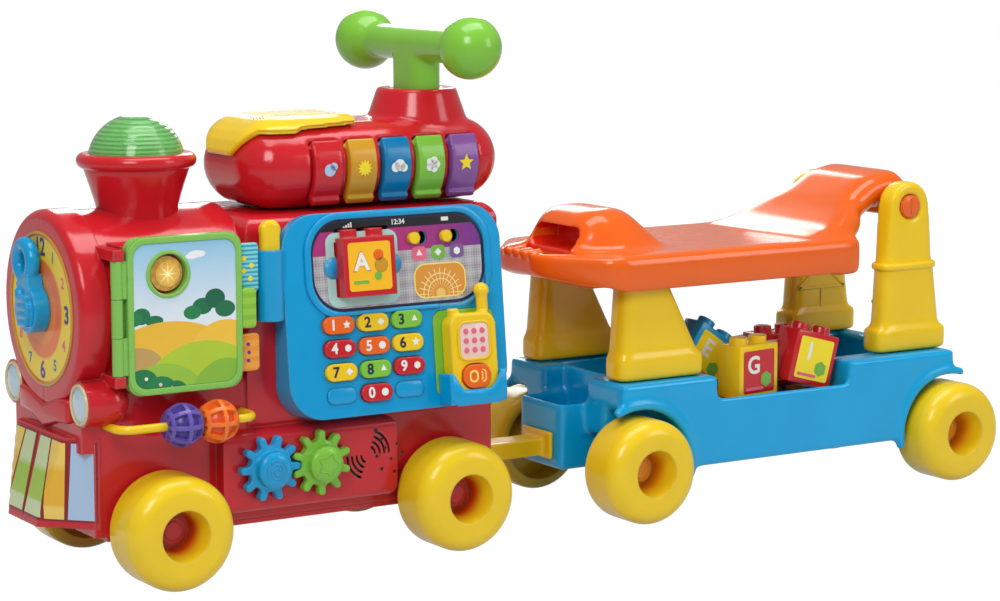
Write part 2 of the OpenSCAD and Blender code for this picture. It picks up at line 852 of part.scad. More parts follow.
module handlebar() {
  color(green) at_loco() {
    translate([handle_x, 0, cone_top - post_sunk + running_gap])
      linear_extrude(handle_h - cone_top + post_sunk - running_gap) post_outline(0);
    translate([handle_x, 0, handle_h]) {
      across(handle_d, handle_span);
      both_sides() translate([0, -handle_span / 2, 0]) sphere(d = handle_ball_d);
    }
  }
}
module piano_key(i, tone) {
  outer = roof_r + piano_proud;
  color(tone) at_loco() at_piano(i) {
    ring_part(outer - piano_t, outer, piano_w, -piano_low_a, piano_top_a);
    ring_part(outer - bite, outer + 3, piano_w, -piano_low_a, -piano_low_a + 10);
    piano_pin_place() translate([-piano_w / 2 - 2.5, 0, 0]) along_x(piano_pin_d, piano_w + 5);
  }
}
module piano_key_1() { piano_key(0, red); }
module piano_key_2() { piano_key(1, yellow); }
module piano_key_3() { piano_key(2, blue); }
module piano_key_4() { piano_key(3, green); }
module piano_key_5() { piano_key(4, purple); }

// Funnel and its lamp dome
module funnel() {
  rim_z = funnel_h - funnel_rim_t;
  color(red) at_loco() difference() {
    translate([funnel_x, 0, funnel_z]) rotate_extrude() difference() {
      union() {
        polygon([[0, -20], [funnel_foot_d / 2, -20], [funnel_foot_d / 2, 2],
                 [funnel_rim_d / 2 - 5, rim_z], [funnel_rim_d / 2 - 5, funnel_h], [0, funnel_h]]);
        translate([0, rim_z]) square([(funnel_rim_d - funnel_rim_t) / 2, funnel_rim_t]);
        translate([(funnel_rim_d - funnel_rim_t) / 2, rim_z + funnel_rim_t / 2])
          circle(d = funnel_rim_t);
      }
      translate([0, -30]) square([funnel_foot_d / 2 - wall * 2, funnel_h + 30 - wall]);
    }
    translate([-reach / 2, 0, boiler_h]) along_x(boiler_d + running_gap, reach);
  }
}
module funnel_dome() {
  sphere_r = (dome_d * dome_d / 4 + dome_h * dome_h) / (2 * dome_h);
  color(green) at_loco() translate([funnel_x, 0, funnel_z + funnel_h + running_gap / 2])
    rotate_extrude() intersection() {
      square([dome_d, dome_h]);
      translate([0, dome_h - sphere_r]) difference() {
        circle(sphere_r);
        circle(sphere_r - dome_wall);
      }
    }
}

// Clock hand with its finger ring
module clock_hand() {
  color(blue) at_loco() translate([-boiler_front, 0, boiler_h]) rotate([-hand_a, 0, 0]) {
    translate([-running_gap - hand_t - 4, 0, 0]) along_x(hand_hub_d * 0.7, hand_t + 4);
    translate([-running_gap - hand_t, 0, 0]) along_x(hand_hub_d, hand_t);
    translate([-running_gap - bite, 0, 0]) along_x(hand_shaft_d, boiler_face_t + bite);
    translate([-running_gap - hand_t / 2, 0, hand_l]) rotate([0, 90, 0]) rotate_extrude()
      translate([ring_d / 2, 0]) circle(d = ring_t);
    translate([-running_gap - hand_t, -ring_t, 0]) cube([hand_t, 2 * ring_t, hand_l - ring_d / 2]);
  }
}

// Book with one leaf
module book_plate(w, y0, t) {
  translate([book_x0 - book_hinge_x + w / 2, -y0, book_z + book_h / 2]) rotate([90, 0, 0])
    linear_extrude(t) soft_rect(w, book_h, book_r);
}
module book_tab(y0, t, z0, z1, l) {
  x0 = book_w - book_hinge_x - book_r;
  box([x0, -y0 - t, z0], [x0 + book_r + l, -y0, z1]);
}
module book_window(d) { translate([lamp_x, 0, lamp_z]) to_left(d, reach); }
module spine(z0, l) {
  translate([-book_hinge_x, -book_hinge_y, z0]) cylinder(d = spine_d, h = l);
}
module spine_bore() {
  translate([-book_hinge_x, -book_hinge_y, 0]) cylinder(d = book_pin_d + 2 * pin_gap, h = reach);
}
module book_cover() {
  third = (spine_l - leaf_spine) / 2 - running_gap;
  color(green) at_loco() difference() {
    union() {
      book_plate(book_w - book_x0, cover_y, cover_t);
      book_tab(cover_y, cover_t, book_z + (book_h - tab_h) / 2, book_z + (book_h + tab_h) / 2, tab_l * 0.7);
      for (z = [spine_z, spine_z + spine_l - third]) {
        spine(z, third);
        box([-book_hinge_x, -cover_y - cover_t, z], [book_x0 - book_hinge_x + bite, -cover_y, z + third]);
      }
    }
    book_window(lamp_d + 2 * lamp_gap);
    spine_bore();
  }
}
module book_leaf() {
  middle = spine_z + (spine_l - leaf_spine) / 2;
  color(yellow) at_loco() difference() {
    union() {
      book_plate(book_w - book_x0, leaf_y, leaf_t);
      book_tab(leaf_y, leaf_t, book_z + book_h - tab_h * 1.6, book_z + book_h - book_r, tab_l);
      book_tab(leaf_y, leaf_t, book_z + book_r, book_z + tab_h * 1.3, tab_l * 0.8);
      spine(middle, leaf_spine);
      box([-book_hinge_x, -leaf_y - leaf_t, middle],
          [book_x0 - book_hinge_x + bite, -leaf_y, middle + leaf_spine]);
    }
    book_window(lamp_d + 2 * lamp_gap);
    spine_bore();
  }
}
module book_lamp() {
  color(orange) at_loco() translate([lamp_x, -pad_y, lamp_z]) {
    to_left(lamp_d, leaf_t + cover_t / 2);
    to_left(lamp_d * 0.75, leaf_t + cover_t);
  }
}

// Bead rod, beads, gears and the speaker
module bead_rod() {
  y_out = chassis_hw + rod_out;
  color(yellow) at_loco() {
    translate([rod_bend_r - rod_front, -y_out, rod_z]) along_x(rod_d, rod_l - 2 * rod_bend_r);
    for (end = [0, 1]) translate([rod_l / 2 - rod_front, 0, rod_z]) mirror([end, 0, 0]) {
      translate([rod_bend_r - rod_l / 2, rod_bend_r - y_out, 0]) rotate([0, 0, 180])
        rotate_extrude(angle = 90) translate([rod_bend_r, 0]) circle(d = rod_d);
      translate([-rod_l / 2, wall - chassis_hw, 0]) to_left(rod_d, rod_out + wall - rod_bend_r);
    }
  }
}
module bead(x, tone) {
  bore_r = rod_d / 2 + pin_gap;
  color(tone) at_loco() translate([x - rod_front, -chassis_hw - rod_out, rod_z]) rotate([0, 90, 0])
    rotate_extrude() intersection() {
      circle(d = bead_d);
      translate([bore_r, -bead_l / 2]) square([bead_d, bead_l]);
    }
}
module bead_purple() { bead(bead_x - bead_l - bead_part, purple); }
module bead_orange() { bead(bead_x, orange); }
module gear(x, turn, tone) {
  color(tone) at_loco() translate([x, -gear_back, gear_z]) rotate([90, 0, 0]) difference() {
    union() {
      linear_extrude(gear_t) {
        circle(d = gear_root_d);
        for (i = [0:gear_teeth - 1]) rotate(turn + i * 360 / gear_teeth) {
          translate([tooth_r0, 0]) circle(d = tooth_d);
          translate([0, -tooth_d / 2]) square([tooth_r0, tooth_d]);
        }
      }
      cylinder(d = gear_hub_d, h = gear_t + gear_hub_h);
    }
    translate([0, 0, -1])
      cylinder(d = gear_pin_d + 2 * pin_gap, h = gear_t + gear_hub_h / 2 + running_gap + 1);
  }
}
module gear_blue() { gear(gear_x, 0, blue); }
module gear_green() { gear(gear_x + gear_gap, 180 / gear_teeth, green); }
module speaker() {
  color(black) at_loco() translate([speaker_x, wall - bulge_y + running_gap / 2, gear_z])
    rotate([-90, 0, 0]) {
      cylinder(d = speaker_d, h = 4);
      cylinder(d1 = speaker_d, d2 = speaker_d * 0.6, h = 12);
      cylinder(d = speaker_d * 0.6, h = 18);
    }
}

// Console: panel, screen, keys, sliders, letter block and phone
function key_place(n) = n == 0 ? [key_u, key_v - 3 * key_pitch_v]
  : [key_u + ((n - 1) % 3 - 1) * key_pitch_u, key_v - floor((n - 1) / 3) * key_pitch_v];
module at_pocket() { translate([block_u, pocket_v, 0]) children(); }
module slider_slot(u) {
  translate([u + slider_travel / 2, slider_v, -face_t - 1]) linear_extrude(face_t + 2)
    soft_rect(knob_d + slider_travel + 2 * running_gap, knob_d + 2 * running_gap, knob_d / 2);
}
module phone_cup() {
  w = phone_w / 2 + running_gap;
  ledge = phone_v - phone_h / 2 - running_gap;
  front = phone_lift + phone_t + running_gap;
  translate([phone_u, 0, 0]) {
    box([-w - cup_wall, cup_low, -bite], [w + cup_wall, ledge, front + cup_wall]);
    box([-w - cup_wall, cup_low, front], [w + cup_wall, ledge + cup_lip, front + cup_wall]);
    for (s = [0, 1]) mirror([s, 0, 0])
      box([w, cup_low, -bite], [w + cup_wall, ledge + cup_lip, front + cup_wall]);
  }
}
module lever_ear() {
  translate([lever_x, -lever_y, console_z]) difference() {
    union() {
      cylinder(d = ear_d, h = lever_z - console_z + 22);
      box([0, 0, 0], [ear_d / 2 + 6, ear_d / 2, lever_z - console_z + 10]);
    }
    box([-lever_stem / 2 - 4, -lever_t / 2 - running_gap, lever_z - console_z - 8],
        [lever_stem / 2 + 4, lever_t / 2 + running_gap, reach]);
    translate([0, 0, lever_z - console_z]) across(lever_pin_d + 2 * pin_gap, lever_t + 10);
  }
}
module console_panel() {
  color(blue) at_loco() {
    difference() {
      at_console() difference() {
        union() {
          difference() {
            soft_plate(console_w, console_h, console_r, -60, 0);
            soft_plate(console_w - 2 * wall, console_h - 2 * wall, console_r - wall, -61, -face_t);
          }
          phone_cup();
        }
        translate([screen_u, screen_v, 0])
          soft_plate(screen_w + 2 * running_gap, screen_h + 2 * running_gap, screen_r + running_gap,
                     -screen_t, 1);
        at_pocket() soft_plate(pocket_w + 2 * (pocket_wall + running_gap),
                               pocket_h + 2 * (pocket_wall + running_gap), 3, -face_t - 1, 1);
        for (n = [0:9]) translate(key_place(n))
          soft_plate(key_w + 2 * running_gap, key_h + 2 * running_gap, key_r, -face_t - 1, 1);
        for (u = [mode_u, volume_u]) slider_slot(u);
        translate([phone_u, phone_v, 0]) soft_plate(cradle_w, cradle_h, 8, -cradle_t + bite, 1);
      }
      box([-reach, -console_back, -reach], [reach, reach, reach]);
    }
    at_console() for (p = board_posts) translate([p.x, p.y, -board_z])
      cylinder(d = 5, h = board_z - face_t + bite);
    lever_ear();
  }
}
module console_screen() {
  color(black) at_loco() at_console() difference() {
    union() {
      translate([screen_u, screen_v, 0])
        soft_plate(screen_w, screen_h, screen_r, running_gap / 2 - screen_t, 0);
      at_pocket() soft_plate(pocket_w + 2 * pocket_wall, pocket_h + 2 * pocket_wall, 3,
                             -pocket_depth - pocket_wall, 0);
    }
    at_pocket() soft_plate(pocket_w, pocket_h, 2, -pocket_depth, 1);
    for (u = [mode_u, volume_u]) slider_slot(u);
  }
}
module circuit_board() {
  color(green) at_loco() at_console() translate([0, board_v, 0])
    soft_plate(board_w, board_h, 3, -board_z - board_t - 0.1, -board_z - 0.1);
}
module phone_cradle() {
  color(green) at_loco() at_console() translate([phone_u, phone_v, 0])
    soft_plate(cradle_w - 2 * running_gap, cradle_h - 2 * running_gap, 8 - running_gap,
               bite - cradle_t + 0.1, 0);
}
module phone_handset() {
  color(yellow) at_loco() at_console() translate([0, 0, phone_lift]) difference() {
    union() {
      translate([phone_u, phone_v, 0]) soft_plate(phone_w, phone_h, 10, 0, phone_t);
      translate([phone_u, phone_v + phone_h / 2, phone_t / 2]) {
        translate([13, -8, 0]) rotate([-90, 0, 0]) cylinder(d = 9, h = 24);
        translate([13, 16, 0]) sphere(d = 12);
        translate([-13, -8, 0]) rotate([-90, 0, 0]) cylinder(d = 9, h = 12);
      }
    }
    translate([phone_u, phone_key_v, 0])
      soft_plate(phone_key_w + 2 * running_gap, phone_key_h + 2 * running_gap, phone_key_h / 2,
                 phone_t - phone_key_depth, phone_t + 1);
  }
}
module phone_button() {
  color(orange) at_loco() at_console() translate([phone_u, phone_key_v, phone_lift + phone_t])
    soft_plate(phone_key_w, phone_key_h, phone_key_h / 2 - 0.1,
               key_travel + running_gap - phone_key_depth, 2);
}
module block_solid() {
  translate([-block_w / 2, -block_t / 2, 0]) cube([block_w, block_t, block_w]);
  for (x = [-1, 1]) translate([x * block_w / 4, 0, block_w - bite]) cylinder(d = stud_d, h = stud_h + bite);
}
module letter_block() {
  color(red) at_loco() at_console() translate([block_u, block_v - block_w / 2, block_proud - block_t / 2])
    rotate([-90, 0, 0]) block_solid();
}
module slider(u) {
  color(yellow) at_loco() at_console() translate([u, slider_v, 0]) {
    translate([0, 0, -face_t - bite]) cylinder(d = knob_d, h = face_t + 4 + bite);
    soft_plate(knob_d + slider_travel, knob_d + 4, 2, -face_t - running_gap - 2, -face_t - running_gap);
  }
}
module mode_slider() { slider(mode_u); }
module volume_slider() { slider(volume_u); }
module whistle_lever() {
  color(yellow) at_loco() translate([lever_x, -lever_y, 0]) {
    box([-lever_stem / 2, -lever_t / 2, lever_z - 3], [lever_stem / 2, lever_t / 2, lever_top]);
    translate([0, 0, lever_top]) across(lever_head_d, lever_t);
    translate([0, 0, lever_z]) {
      across(lever_stem, lever_t);
      across(lever_pin_d, lever_t + 9);
    }
  }
}
module number_key(n, tone) {
  low = -face_t - running_gap;
  color(tone) at_loco() at_console() translate(key_place(n)) {
    soft_plate(key_w, key_h, key_r, low - bite, key_proud);
    soft_plate(key_w + 2 * key_flange, key_h + 2 * key_flange, key_r, low - key_flange_t, low);
  }
}
module number_key_0() { number_key(0, red); }
module number_key_1() { number_key(1, orange); }
module number_key_2() { number_key(2, yellow); }
module number_key_3() { number_key(3, green); }
module number_key_4() { number_key(4, red); }
module number_key_5() { number_key(5, orange); }
module number_key_6() { number_key(6, yellow); }
module number_key_7() { number_key(7, yellow); }
module number_key_8() { number_key(8, green); }
module number_key_9() { number_key(9, red); }

// Wagon
module wheel_arch(x) { both_sides() translate([x, -arch_y, 0]) to_left(arch_d, reach); }
module axle_bracket(x) {
  both_sides() box([x - 12, running_gap - wheel_in, -12], [x + 12, -trough_hw, 18]);
}
// Front bin, stepped over the axle
module bin_form(inset) {
  over_axle = axle_d / 2 + 2;
  box([inset - tub_front, inset - bin_w / 2, inset - 6],
      [-over_axle - 3 - inset, bin_w / 2 - inset, bin_h + inset]);
  box([-over_axle - 4 - inset, inset - bin_w / 2, over_axle + inset],
      [bin_rear, bin_w / 2 - inset, bin_h + inset]);
}
module wagon_tub() {
  block_x = bin_rear - bite;
  tail_x = wagon_wheelbase - 8;
  color(blue) at_wagon() difference() {
    union() {
      difference() {
        union() {
          box([bay_x, -tub_hw, tub_bottom], [bay_x1, tub_hw, tub_h]);
          box([block_x, -tub_hw, tub_bottom], [bay_x + tub_wall, tub_hw, deck_h]);
          box([bay_x1 - tub_wall, -tub_hw, tub_bottom], [tail_x, tub_hw, deck_h]);
          box([tail_x - bite, -arch_y, axle_d / 2 + 2], [tub_rear, arch_y, deck_h]);
          both_sides() {
            box([-fender_front, -tub_hw, 24], [bay_x, -bin_w / 2, deck_h]);
            box([bay_x1, -tub_hw, 24], [tub_rear, -arch_y - 1, deck_h]);
          }
          bin_form(0);
        }
        wheel_arch(0);
        wheel_arch(wagon_wheelbase);
        box([bay_x + tub_wall, tub_wall - tub_hw, tub_floor], [bay_x1 - tub_wall, tub_hw - tub_wall, reach]);
        box([block_x + tub_wall, -trough_hw, tub_floor], [tail_x - tub_wall, trough_hw, reach]);
        bin_form(tub_wall);
      }
      axle_bracket(0);
      axle_bracket(wagon_wheelbase);
    }
    for (x = [0, wagon_wheelbase]) translate([x, 0, 0]) across(axle_bore_d, 2 * wheel_in + 2);
  }
}
// Rounded slab of a post between two heights, on the left side
module post_slab(x0, x1, z0, z1, y0, y1, r) {
  for (x = [x0 + r, x1 - r], y = [-y0 - r, -y1 + r]) translate([x, y, z0])
    cylinder(r = r, h = z1 - z0, $fn = 28);
}
module front_posts() {
  inner = front_post_y - front_post_t;
  foot = deck_h + running_gap;
  band = deck_h + 20;
  top = seat_top - seat_wall - running_gap;
  color(yellow) at_wagon() both_sides() {
    hull() post_slab(4 - fender_front, bay_x - 2, foot, band, inner, front_post_y, post_r);
    hull() {
      post_slab(6 - fender_front, bay_x - 6, band - 1, band, inner + 1, front_post_y - 2, post_r);
      post_slab(12 - fender_front, 26, top - 1, top, inner + 2, front_post_y - 4, post_r - 2);
    }
  }
}
module rear_posts() {
  inner = rear_post_y - rear_post_t;
  foot = deck_h + running_gap;
  band = deck_h + rear_band_h;
  color(yellow) at_wagon() both_sides() difference() {
    union() {
      hull() {
        post_slab(pivot_x - 31, pivot_x + 38, foot, foot + 12, inner, rear_post_y, post_r);
        post_slab(pivot_x - 27, pivot_x + 29, band - 1, band, inner, rear_post_y, post_r);
      }
      hull() {
        post_slab(pivot_x - 26, pivot_x + 28, band - 1, band, inner, rear_post_y - 1, post_r);
        translate([pivot_x, -inner, pivot_h]) to_left(post_head_d, rear_post_t - 1);
      }
    }
    translate([pivot_x, 0, pivot_h]) to_left(pivot_d + 2 * pin_gap, reach);
  }
}
// Seat deck seen from above, drawn in by inset
module seat_outline(inset) {
  nose_r = 24;
  nose_hw = grip_slot_w / 2 - 10;
  shoulder_r = 22;
  rear_r = 8;
  hull() for (s = [-1, 1]) {
    translate([seat_front + nose_r, s * nose_hw]) circle(nose_r - inset, $fn = 40);
    translate([seat_front + 52, s * (seat_hw - shoulder_r)]) circle(shoulder_r - inset, $fn = 40);
    translate([seat_wide_rear - rear_r, s * (seat_hw - rear_r)]) circle(rear_r - inset, $fn = 40);
  }
}
module seat() {
  hump_r = 24;
  foot_r = 12;
  back_r = 13;
  slot_x = seat_front + 23;
  slot_l = 22;
  color(orange) at_wagon() difference() {
    union() {
      translate([0, 0, seat_low]) linear_extrude(seat_t) seat_outline(0);
      hull() for (s = [-1, 1]) {
        for (x = [seat_front + 60, seat_front + 76])
          translate([x, s * 22, pivot_h + 11 - hump_r]) sphere(hump_r, $fn = 32);
        translate([seat_front + 34, s * 34, seat_low + foot_r]) sphere(foot_r, $fn = 24);
        translate([seat_front + 74, s * 52, seat_top - foot_r]) sphere(foot_r, $fn = 24);
        translate([seat_front + 112, s * 40, seat_top - foot_r]) sphere(foot_r, $fn = 24);
      }
      for (i = [0 : len(back_curve) - 2]) hull() for (s = [-1, 1], p = [back_curve[i], back_curve[i + 1]])
        translate([pivot_x + p.x, s * (back_hw + p.z - back_r), pivot_h + p.y]) sphere(back_r, $fn = 20);
      translate([pivot_x, 0, pivot_h]) across(pivot_d, 2 * rear_post_y - 3);
    }
    intersection() {
      translate([0, 0, seat_low - 1]) linear_extrude(seat_t + 1 - seat_wall) seat_outline(seat_wall);
      box([slot_x + slot_l / 2 + seat_wall - 1, -reach, -reach],
          [seat_wide_rear - 30, reach, reach]);
    }
    translate([slot_x, 0, seat_low - 1]) linear_extrude(seat_t + hump_r)
      soft_rect(slot_l, grip_slot_w, slot_l / 2 - 1);
    // Underside of the nose, which rises to the grip
    translate([seat_front, 0, seat_low]) rotate([90, 0, 0]) linear_extrude(2 * seat_w, center = true)
      polygon([[-1, -1], [-1, nose_rise], [nose_l, -1]]);
  }
}
module drawbar() {
  low = tongue_top + running_gap;
  bar_w = 24;
  color(yellow) at_wagon() difference() {
    union() {
      translate([hitch_from_wagon, 0, low]) cylinder(d = hitch_d + 2 * drawbar_eye_t, h = drawbar_h);
      box([hitch_from_wagon, -bar_w / 2, low], [-tub_front - 0.1, bar_w / 2, low + drawbar_h]);
      box([-tub_front - 4, -bin_w / 2 + 10, low - 2],
          [-tub_front - 0.1, bin_w / 2 - 10, low + drawbar_h + 6]);
    }
    translate([hitch_from_wagon, 0, low - 1]) cylinder(d = hitch_d + 2 * pin_gap, h = drawbar_h + 2);
  }
}
// Loose letter blocks in the cargo bay: a layer on its side and four blocks on top
// Middle height of a block that stands on its tilted edge
function tilt_h(a) = block_w / 2 * (cos(a) + sin(a));
module side_block() { rotate([0, 90, 0]) block_solid(); }
module cargo_blocks() {
  near = 1 + block_t / 2 + tub_wall - tub_hw;
  row = block_w + stud_h + 2;
  x0 = bay_x + tub_wall + 2;
  color(red) at_wagon() {
    for (i = [0, 1], y = [near, near + block_t * 1.5]) translate([x0 + i * row, y, stack_z]) side_block();
    for (i = [0, 1]) translate([x0 + 2 * row + block_t / 2, near - block_t / 2 + i * row, stack_z])
      rotate([0, 0, 90]) side_block();
    translate([mid_x - 21, -60, pile_z]) rotate([0, 0, 8]) block_solid();
    translate([mid_x - 43, -24, pile_z + tilt_h(35)]) rotate([0, 35, 0])
      translate([0, 0, -block_w / 2]) block_solid();
    translate([mid_x + 34, -22, pile_z]) block_solid();
    translate([mid_x + 38, -60, pile_z + tilt_h(15)]) rotate([0, 15, 0])
      translate([0, 0, -block_w / 2]) block_solid();
  }
}

body_left_shell();
body_right_shell();
underside_tray();
battery_door();
loco_axles();
roof_shell();
roof_visor();
handlebar();
funnel();
funnel_dome();
clock_hand();
book_lamp();
book_cover();
book_leaf();
bead_rod();
bead_purple();
bead_orange();
gear_blue();
gear_green();
speaker();
circuit_board();
console_panel();
console_screen();
phone_cradle();
phone_handset();
phone_button();
letter_block();
mode_slider();
volume_slider();
whistle_lever();
piano_key_1();
piano_key_2();
piano_key_3();
piano_key_4();
piano_key_5();
number_key_0();
number_key_1();
number_key_2();
number_key_3();
number_key_4();
number_key_5();
number_key_6();
number_key_7();
number_key_8();
number_key_9();
loco_wheel_front_left();
loco_wheel_front_right();
loco_wheel_rear_left();
loco_wheel_rear_right();
wagon_tub();
front_posts();
rear_posts();
seat();
drawbar();
cargo_blocks();
wagon_axles();
wagon_wheel_front_left();
wagon_wheel_front_right();
wagon_wheel_rear_left();
wagon_wheel_rear_right();
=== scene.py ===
import json
import math

import bpy
from mathutils import Matrix, Vector

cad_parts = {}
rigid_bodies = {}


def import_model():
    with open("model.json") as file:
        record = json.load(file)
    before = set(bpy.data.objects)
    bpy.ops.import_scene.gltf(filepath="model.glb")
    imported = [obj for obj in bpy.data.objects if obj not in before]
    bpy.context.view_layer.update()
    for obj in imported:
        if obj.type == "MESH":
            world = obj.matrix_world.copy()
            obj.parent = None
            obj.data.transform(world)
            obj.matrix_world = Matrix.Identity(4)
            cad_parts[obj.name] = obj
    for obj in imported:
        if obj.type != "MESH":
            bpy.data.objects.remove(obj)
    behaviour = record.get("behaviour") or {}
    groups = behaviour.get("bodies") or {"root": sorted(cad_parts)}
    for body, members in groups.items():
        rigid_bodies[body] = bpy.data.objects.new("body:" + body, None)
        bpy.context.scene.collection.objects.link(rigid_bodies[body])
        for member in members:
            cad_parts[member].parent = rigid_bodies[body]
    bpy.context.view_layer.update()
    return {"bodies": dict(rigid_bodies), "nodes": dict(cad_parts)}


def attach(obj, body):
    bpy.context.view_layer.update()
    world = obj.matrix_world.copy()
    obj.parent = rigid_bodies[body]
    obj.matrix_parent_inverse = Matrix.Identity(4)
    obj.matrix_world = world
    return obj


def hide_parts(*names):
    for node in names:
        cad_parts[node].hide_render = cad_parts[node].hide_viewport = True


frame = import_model()
bpy.context.scene.view_settings.view_transform = "Standard"

# Places and sizes are in millimetres, in the frame of the solids.

MM = 0.001
WAGON_NODES = ("wagon_tub", "front_posts", "rear_posts", "drawbar", "cargo_blocks", "wagon_axles")
HANDS = (("left", -1), ("right", 1))
LOCO_AXLES = {"front": -345.5, "rear": -107.5}
WAGON_AXLES = {"front": 64.5, "rear": 384.5}
AXLE_Z = 42
BOILER_Z = 198
DIAL_X, DIAL_R, NUMERAL_REACH = -407.5, 54, 45
HEADLAMP_X, HEADLAMP_Y, HEADLAMP_Z = -405.5, 60, 136
CAB_SIDE, SKIRT_SIDE, CAB_REAR = 62, 72, -57.5
WINDOWS, WINDOW_Z = {"front": -218, "rear": -118}, 206
BOOK_X, BOOK_Z, COVER_Y = -331.5, 198.5, -80.6
BOOK_LAMP_X, BOOK_LAMP_Z = -344.5, 228
BEAD_R, BEAD_Y, BEAD_Z = 16, -85, 119
KEY_TOP = 3.5
BLOCK_FACE = 11
PHONE_U, PHONE_FACE, PHONE_WINDOW_V = 57, 14.3, -27
BUTTON_V, BUTTON_FACE = -54, 16.3
SEAT_PIVOT_X, SEAT_PIVOT_Z = 350.5, 234.5
SHARP, GENTLE, ROUND = 40, 35, 60  # degrees at an edge


def tone(red, green, blue):
    """A screen colour from 0 to 255 as the linear colour that a shader takes."""
    def linear(value):
        value /= 255
        return value / 12.92 if value <= 0.04045 else ((value + 0.055) / 1.055) ** 2.4
    return (linear(red), linear(green), linear(blue), 1.0)


# Finishes: colours of three values are screen colours, those of four are linear.

def node_in(tree, kind, **settings):
    node = tree.nodes.new(kind)
    for key, value in settings.items():
        setattr(node, key, value)
    return node


class Value:
    """A number or colour in a node tree, with the arithmetic that the painters use."""

    def __init__(self, tree, socket):
        self.tree, self.socket = tree, socket

    def then(self, operation, *others, clamp=False):
        node = node_in(self.tree, "ShaderNodeMath", operation=operation, use_clamp=clamp)
        for socket, value in zip(node.inputs, (self, *others)):
            feed(self.tree, socket, value)
        return Value(self.tree, node.outputs[0])

    def __add__(self, other):
        return self.then("ADD", other)

    def __sub__(self, other):
        return self.then("SUBTRACT", other)

    def __mul__(self, other):
        return self.then("MULTIPLY", other)

    def __truediv__(self, other):
        return self.then("DIVIDE", other)

    def __pow__(self, other):
        return self.then("POWER", other)

    def __lt__(self, other):
        return self.then("LESS_THAN", other)

    def __gt__(self, other):
        return self.then("GREATER_THAN", other)

    def __abs__(self):
        return self.then("ABSOLUTE")

    def wave(self, pitch):
        return self.then("PINGPONG", pitch)

    def share(self, low, high, kind="LINEAR"):
        """0 to 1 as the value runs from low to high."""
        span = node_in(self.tree, "ShaderNodeMapRange", interpolation_type=kind)
        for label, value in (("Value", self), ("From Min", low), ("From Max", high)):
            feed(self.tree, span.inputs[label], value)
        return Value(self.tree, span.outputs["Result"])

    def mix(self, a, b):
        """Colour a where the value is 0, colour b where it is 1."""
        return mix_in(self.tree, self, a, b)


def feed(tree, socket, value):
    """Gives a socket a constant or a link."""
    if isinstance(value, tuple) and len(value) == 3:
        value = tone(*value)
    if isinstance(value, (int, float, tuple)):
        socket.default_value = value
    else:
        tree.links.new(value.socket if isinstance(value, Value) else value, socket)


def mix_in(tree, factor, a, b, blend="MIX"):
    node = node_in(tree, "ShaderNodeMix", data_type="RGBA", blend_type=blend)
    for index, value in ((0, factor), (6, a), (7, b)):
        feed(tree, node.inputs[index], value)
    return Value(tree, node.outputs[2])


def noise_in(tree, scale, detail):
    texture = node_in(tree, "ShaderNodeTexNoise")
    place = node_in(tree, "ShaderNodeTexCoord").outputs["Object"]
    for label, value in (("Vector", place), ("Scale", scale), ("Detail", detail)):
        feed(tree, texture.inputs[label], value)
    return Value(tree, texture.outputs["Fac"])


def distance(across, up):
    return (across * across + up * up).then("SQRT")


def build_moulding():
    """Moulded plastic: cloudy pigment, a fine grain, rubbed gloss, and round edges with a painted highlight
    that makes them a little paler.
    """
    group = bpy.data.node_groups.new("moulding", "ShaderNodeTree")
    for label, kind, value in (("Color", "Color", tone(*WHITE)), ("Roughness", "Float", 0.25),
                               ("Edge", "Float", 0.0015)):
        socket = group.interface.new_socket(label, in_out="INPUT", socket_type="NodeSocket" + kind)
        socket.default_value = value
    for label, kind in (("Color", "Color"), ("Roughness", "Float"), ("Height", "Float"),
                        ("Normal", "Vector")):
        group.interface.new_socket(label, in_out="OUTPUT", socket_type="NodeSocket" + kind)
    source, sink = group.nodes.new("NodeGroupInput"), group.nodes.new("NodeGroupOutput")
    cloud, grain, rub = (noise_in(group, *row) for row in ((24, 4), (1400, 2), (75, 6)))
    round_edge = node_in(group, "ShaderNodeBevel", samples=4)
    feed(group, round_edge.inputs["Radius"], source.outputs["Edge"])
    turn = node_in(group, "ShaderNodeVectorMath", operation="DOT_PRODUCT")
    feed(group, turn.inputs[0], round_edge.outputs[0])
    feed(group, turn.inputs[1], node_in(group, "ShaderNodeNewGeometry").outputs["Normal"])
    bend = Value(group, turn.outputs["Value"]) * -1 + 1
    edge = bend.then("MULTIPLY", 1.3, clamp=True)
    grey = node_in(group, "ShaderNodeCombineColor")
    shade = cloud * 0.16 + 0.92
    for socket in grey.inputs[:3]:
        feed(group, socket, shade)
    toned = mix_in(group, 1.0, source.outputs["Color"], grey.outputs[0], "MULTIPLY")
    # Painted highlight: the more the rounded edge bends the normal, the more the colour goes to a warm white.
    pale = (edge * 0.22).mix(toned, (1, 0.92, 0.86, 1))
    gloss = Value(group, source.outputs["Roughness"]) - 0.06 + rub * 0.12
    for label, value in (("Color", pale), ("Roughness", gloss), ("Height", grain),
                         ("Normal", round_edge.outputs[0])):
        feed(group, sink.inputs[label], value)
    return group


def blank_finish(name):
    finish = bpy.data.materials.new(name)
    finish.use_nodes = True
    tree = finish.node_tree
    return finish, tree, tree.nodes["Principled BSDF"]


def moulding_in(tree, shader, color, roughness, edge, strength, depth):
    """The moulding group and a bump node, linked to the shader."""
    body = node_in(tree, "ShaderNodeGroup", node_tree=MOULDING)
    bump = node_in(tree, "ShaderNodeBump")
    for socket, value in ((body.inputs["Color"], color), (body.inputs["Roughness"], roughness),
                          (body.inputs["Edge"], edge * MM), (bump.inputs["Strength"], strength),
                          (bump.inputs["Distance"], depth),
                          (shader.inputs["Base Color"], body.outputs["Color"]),
                          (shader.inputs["Roughness"], body.outputs["Roughness"]),
                          (shader.inputs["Normal"], bump.outputs["Normal"])):
        feed(tree, socket, value)
    return body, bump


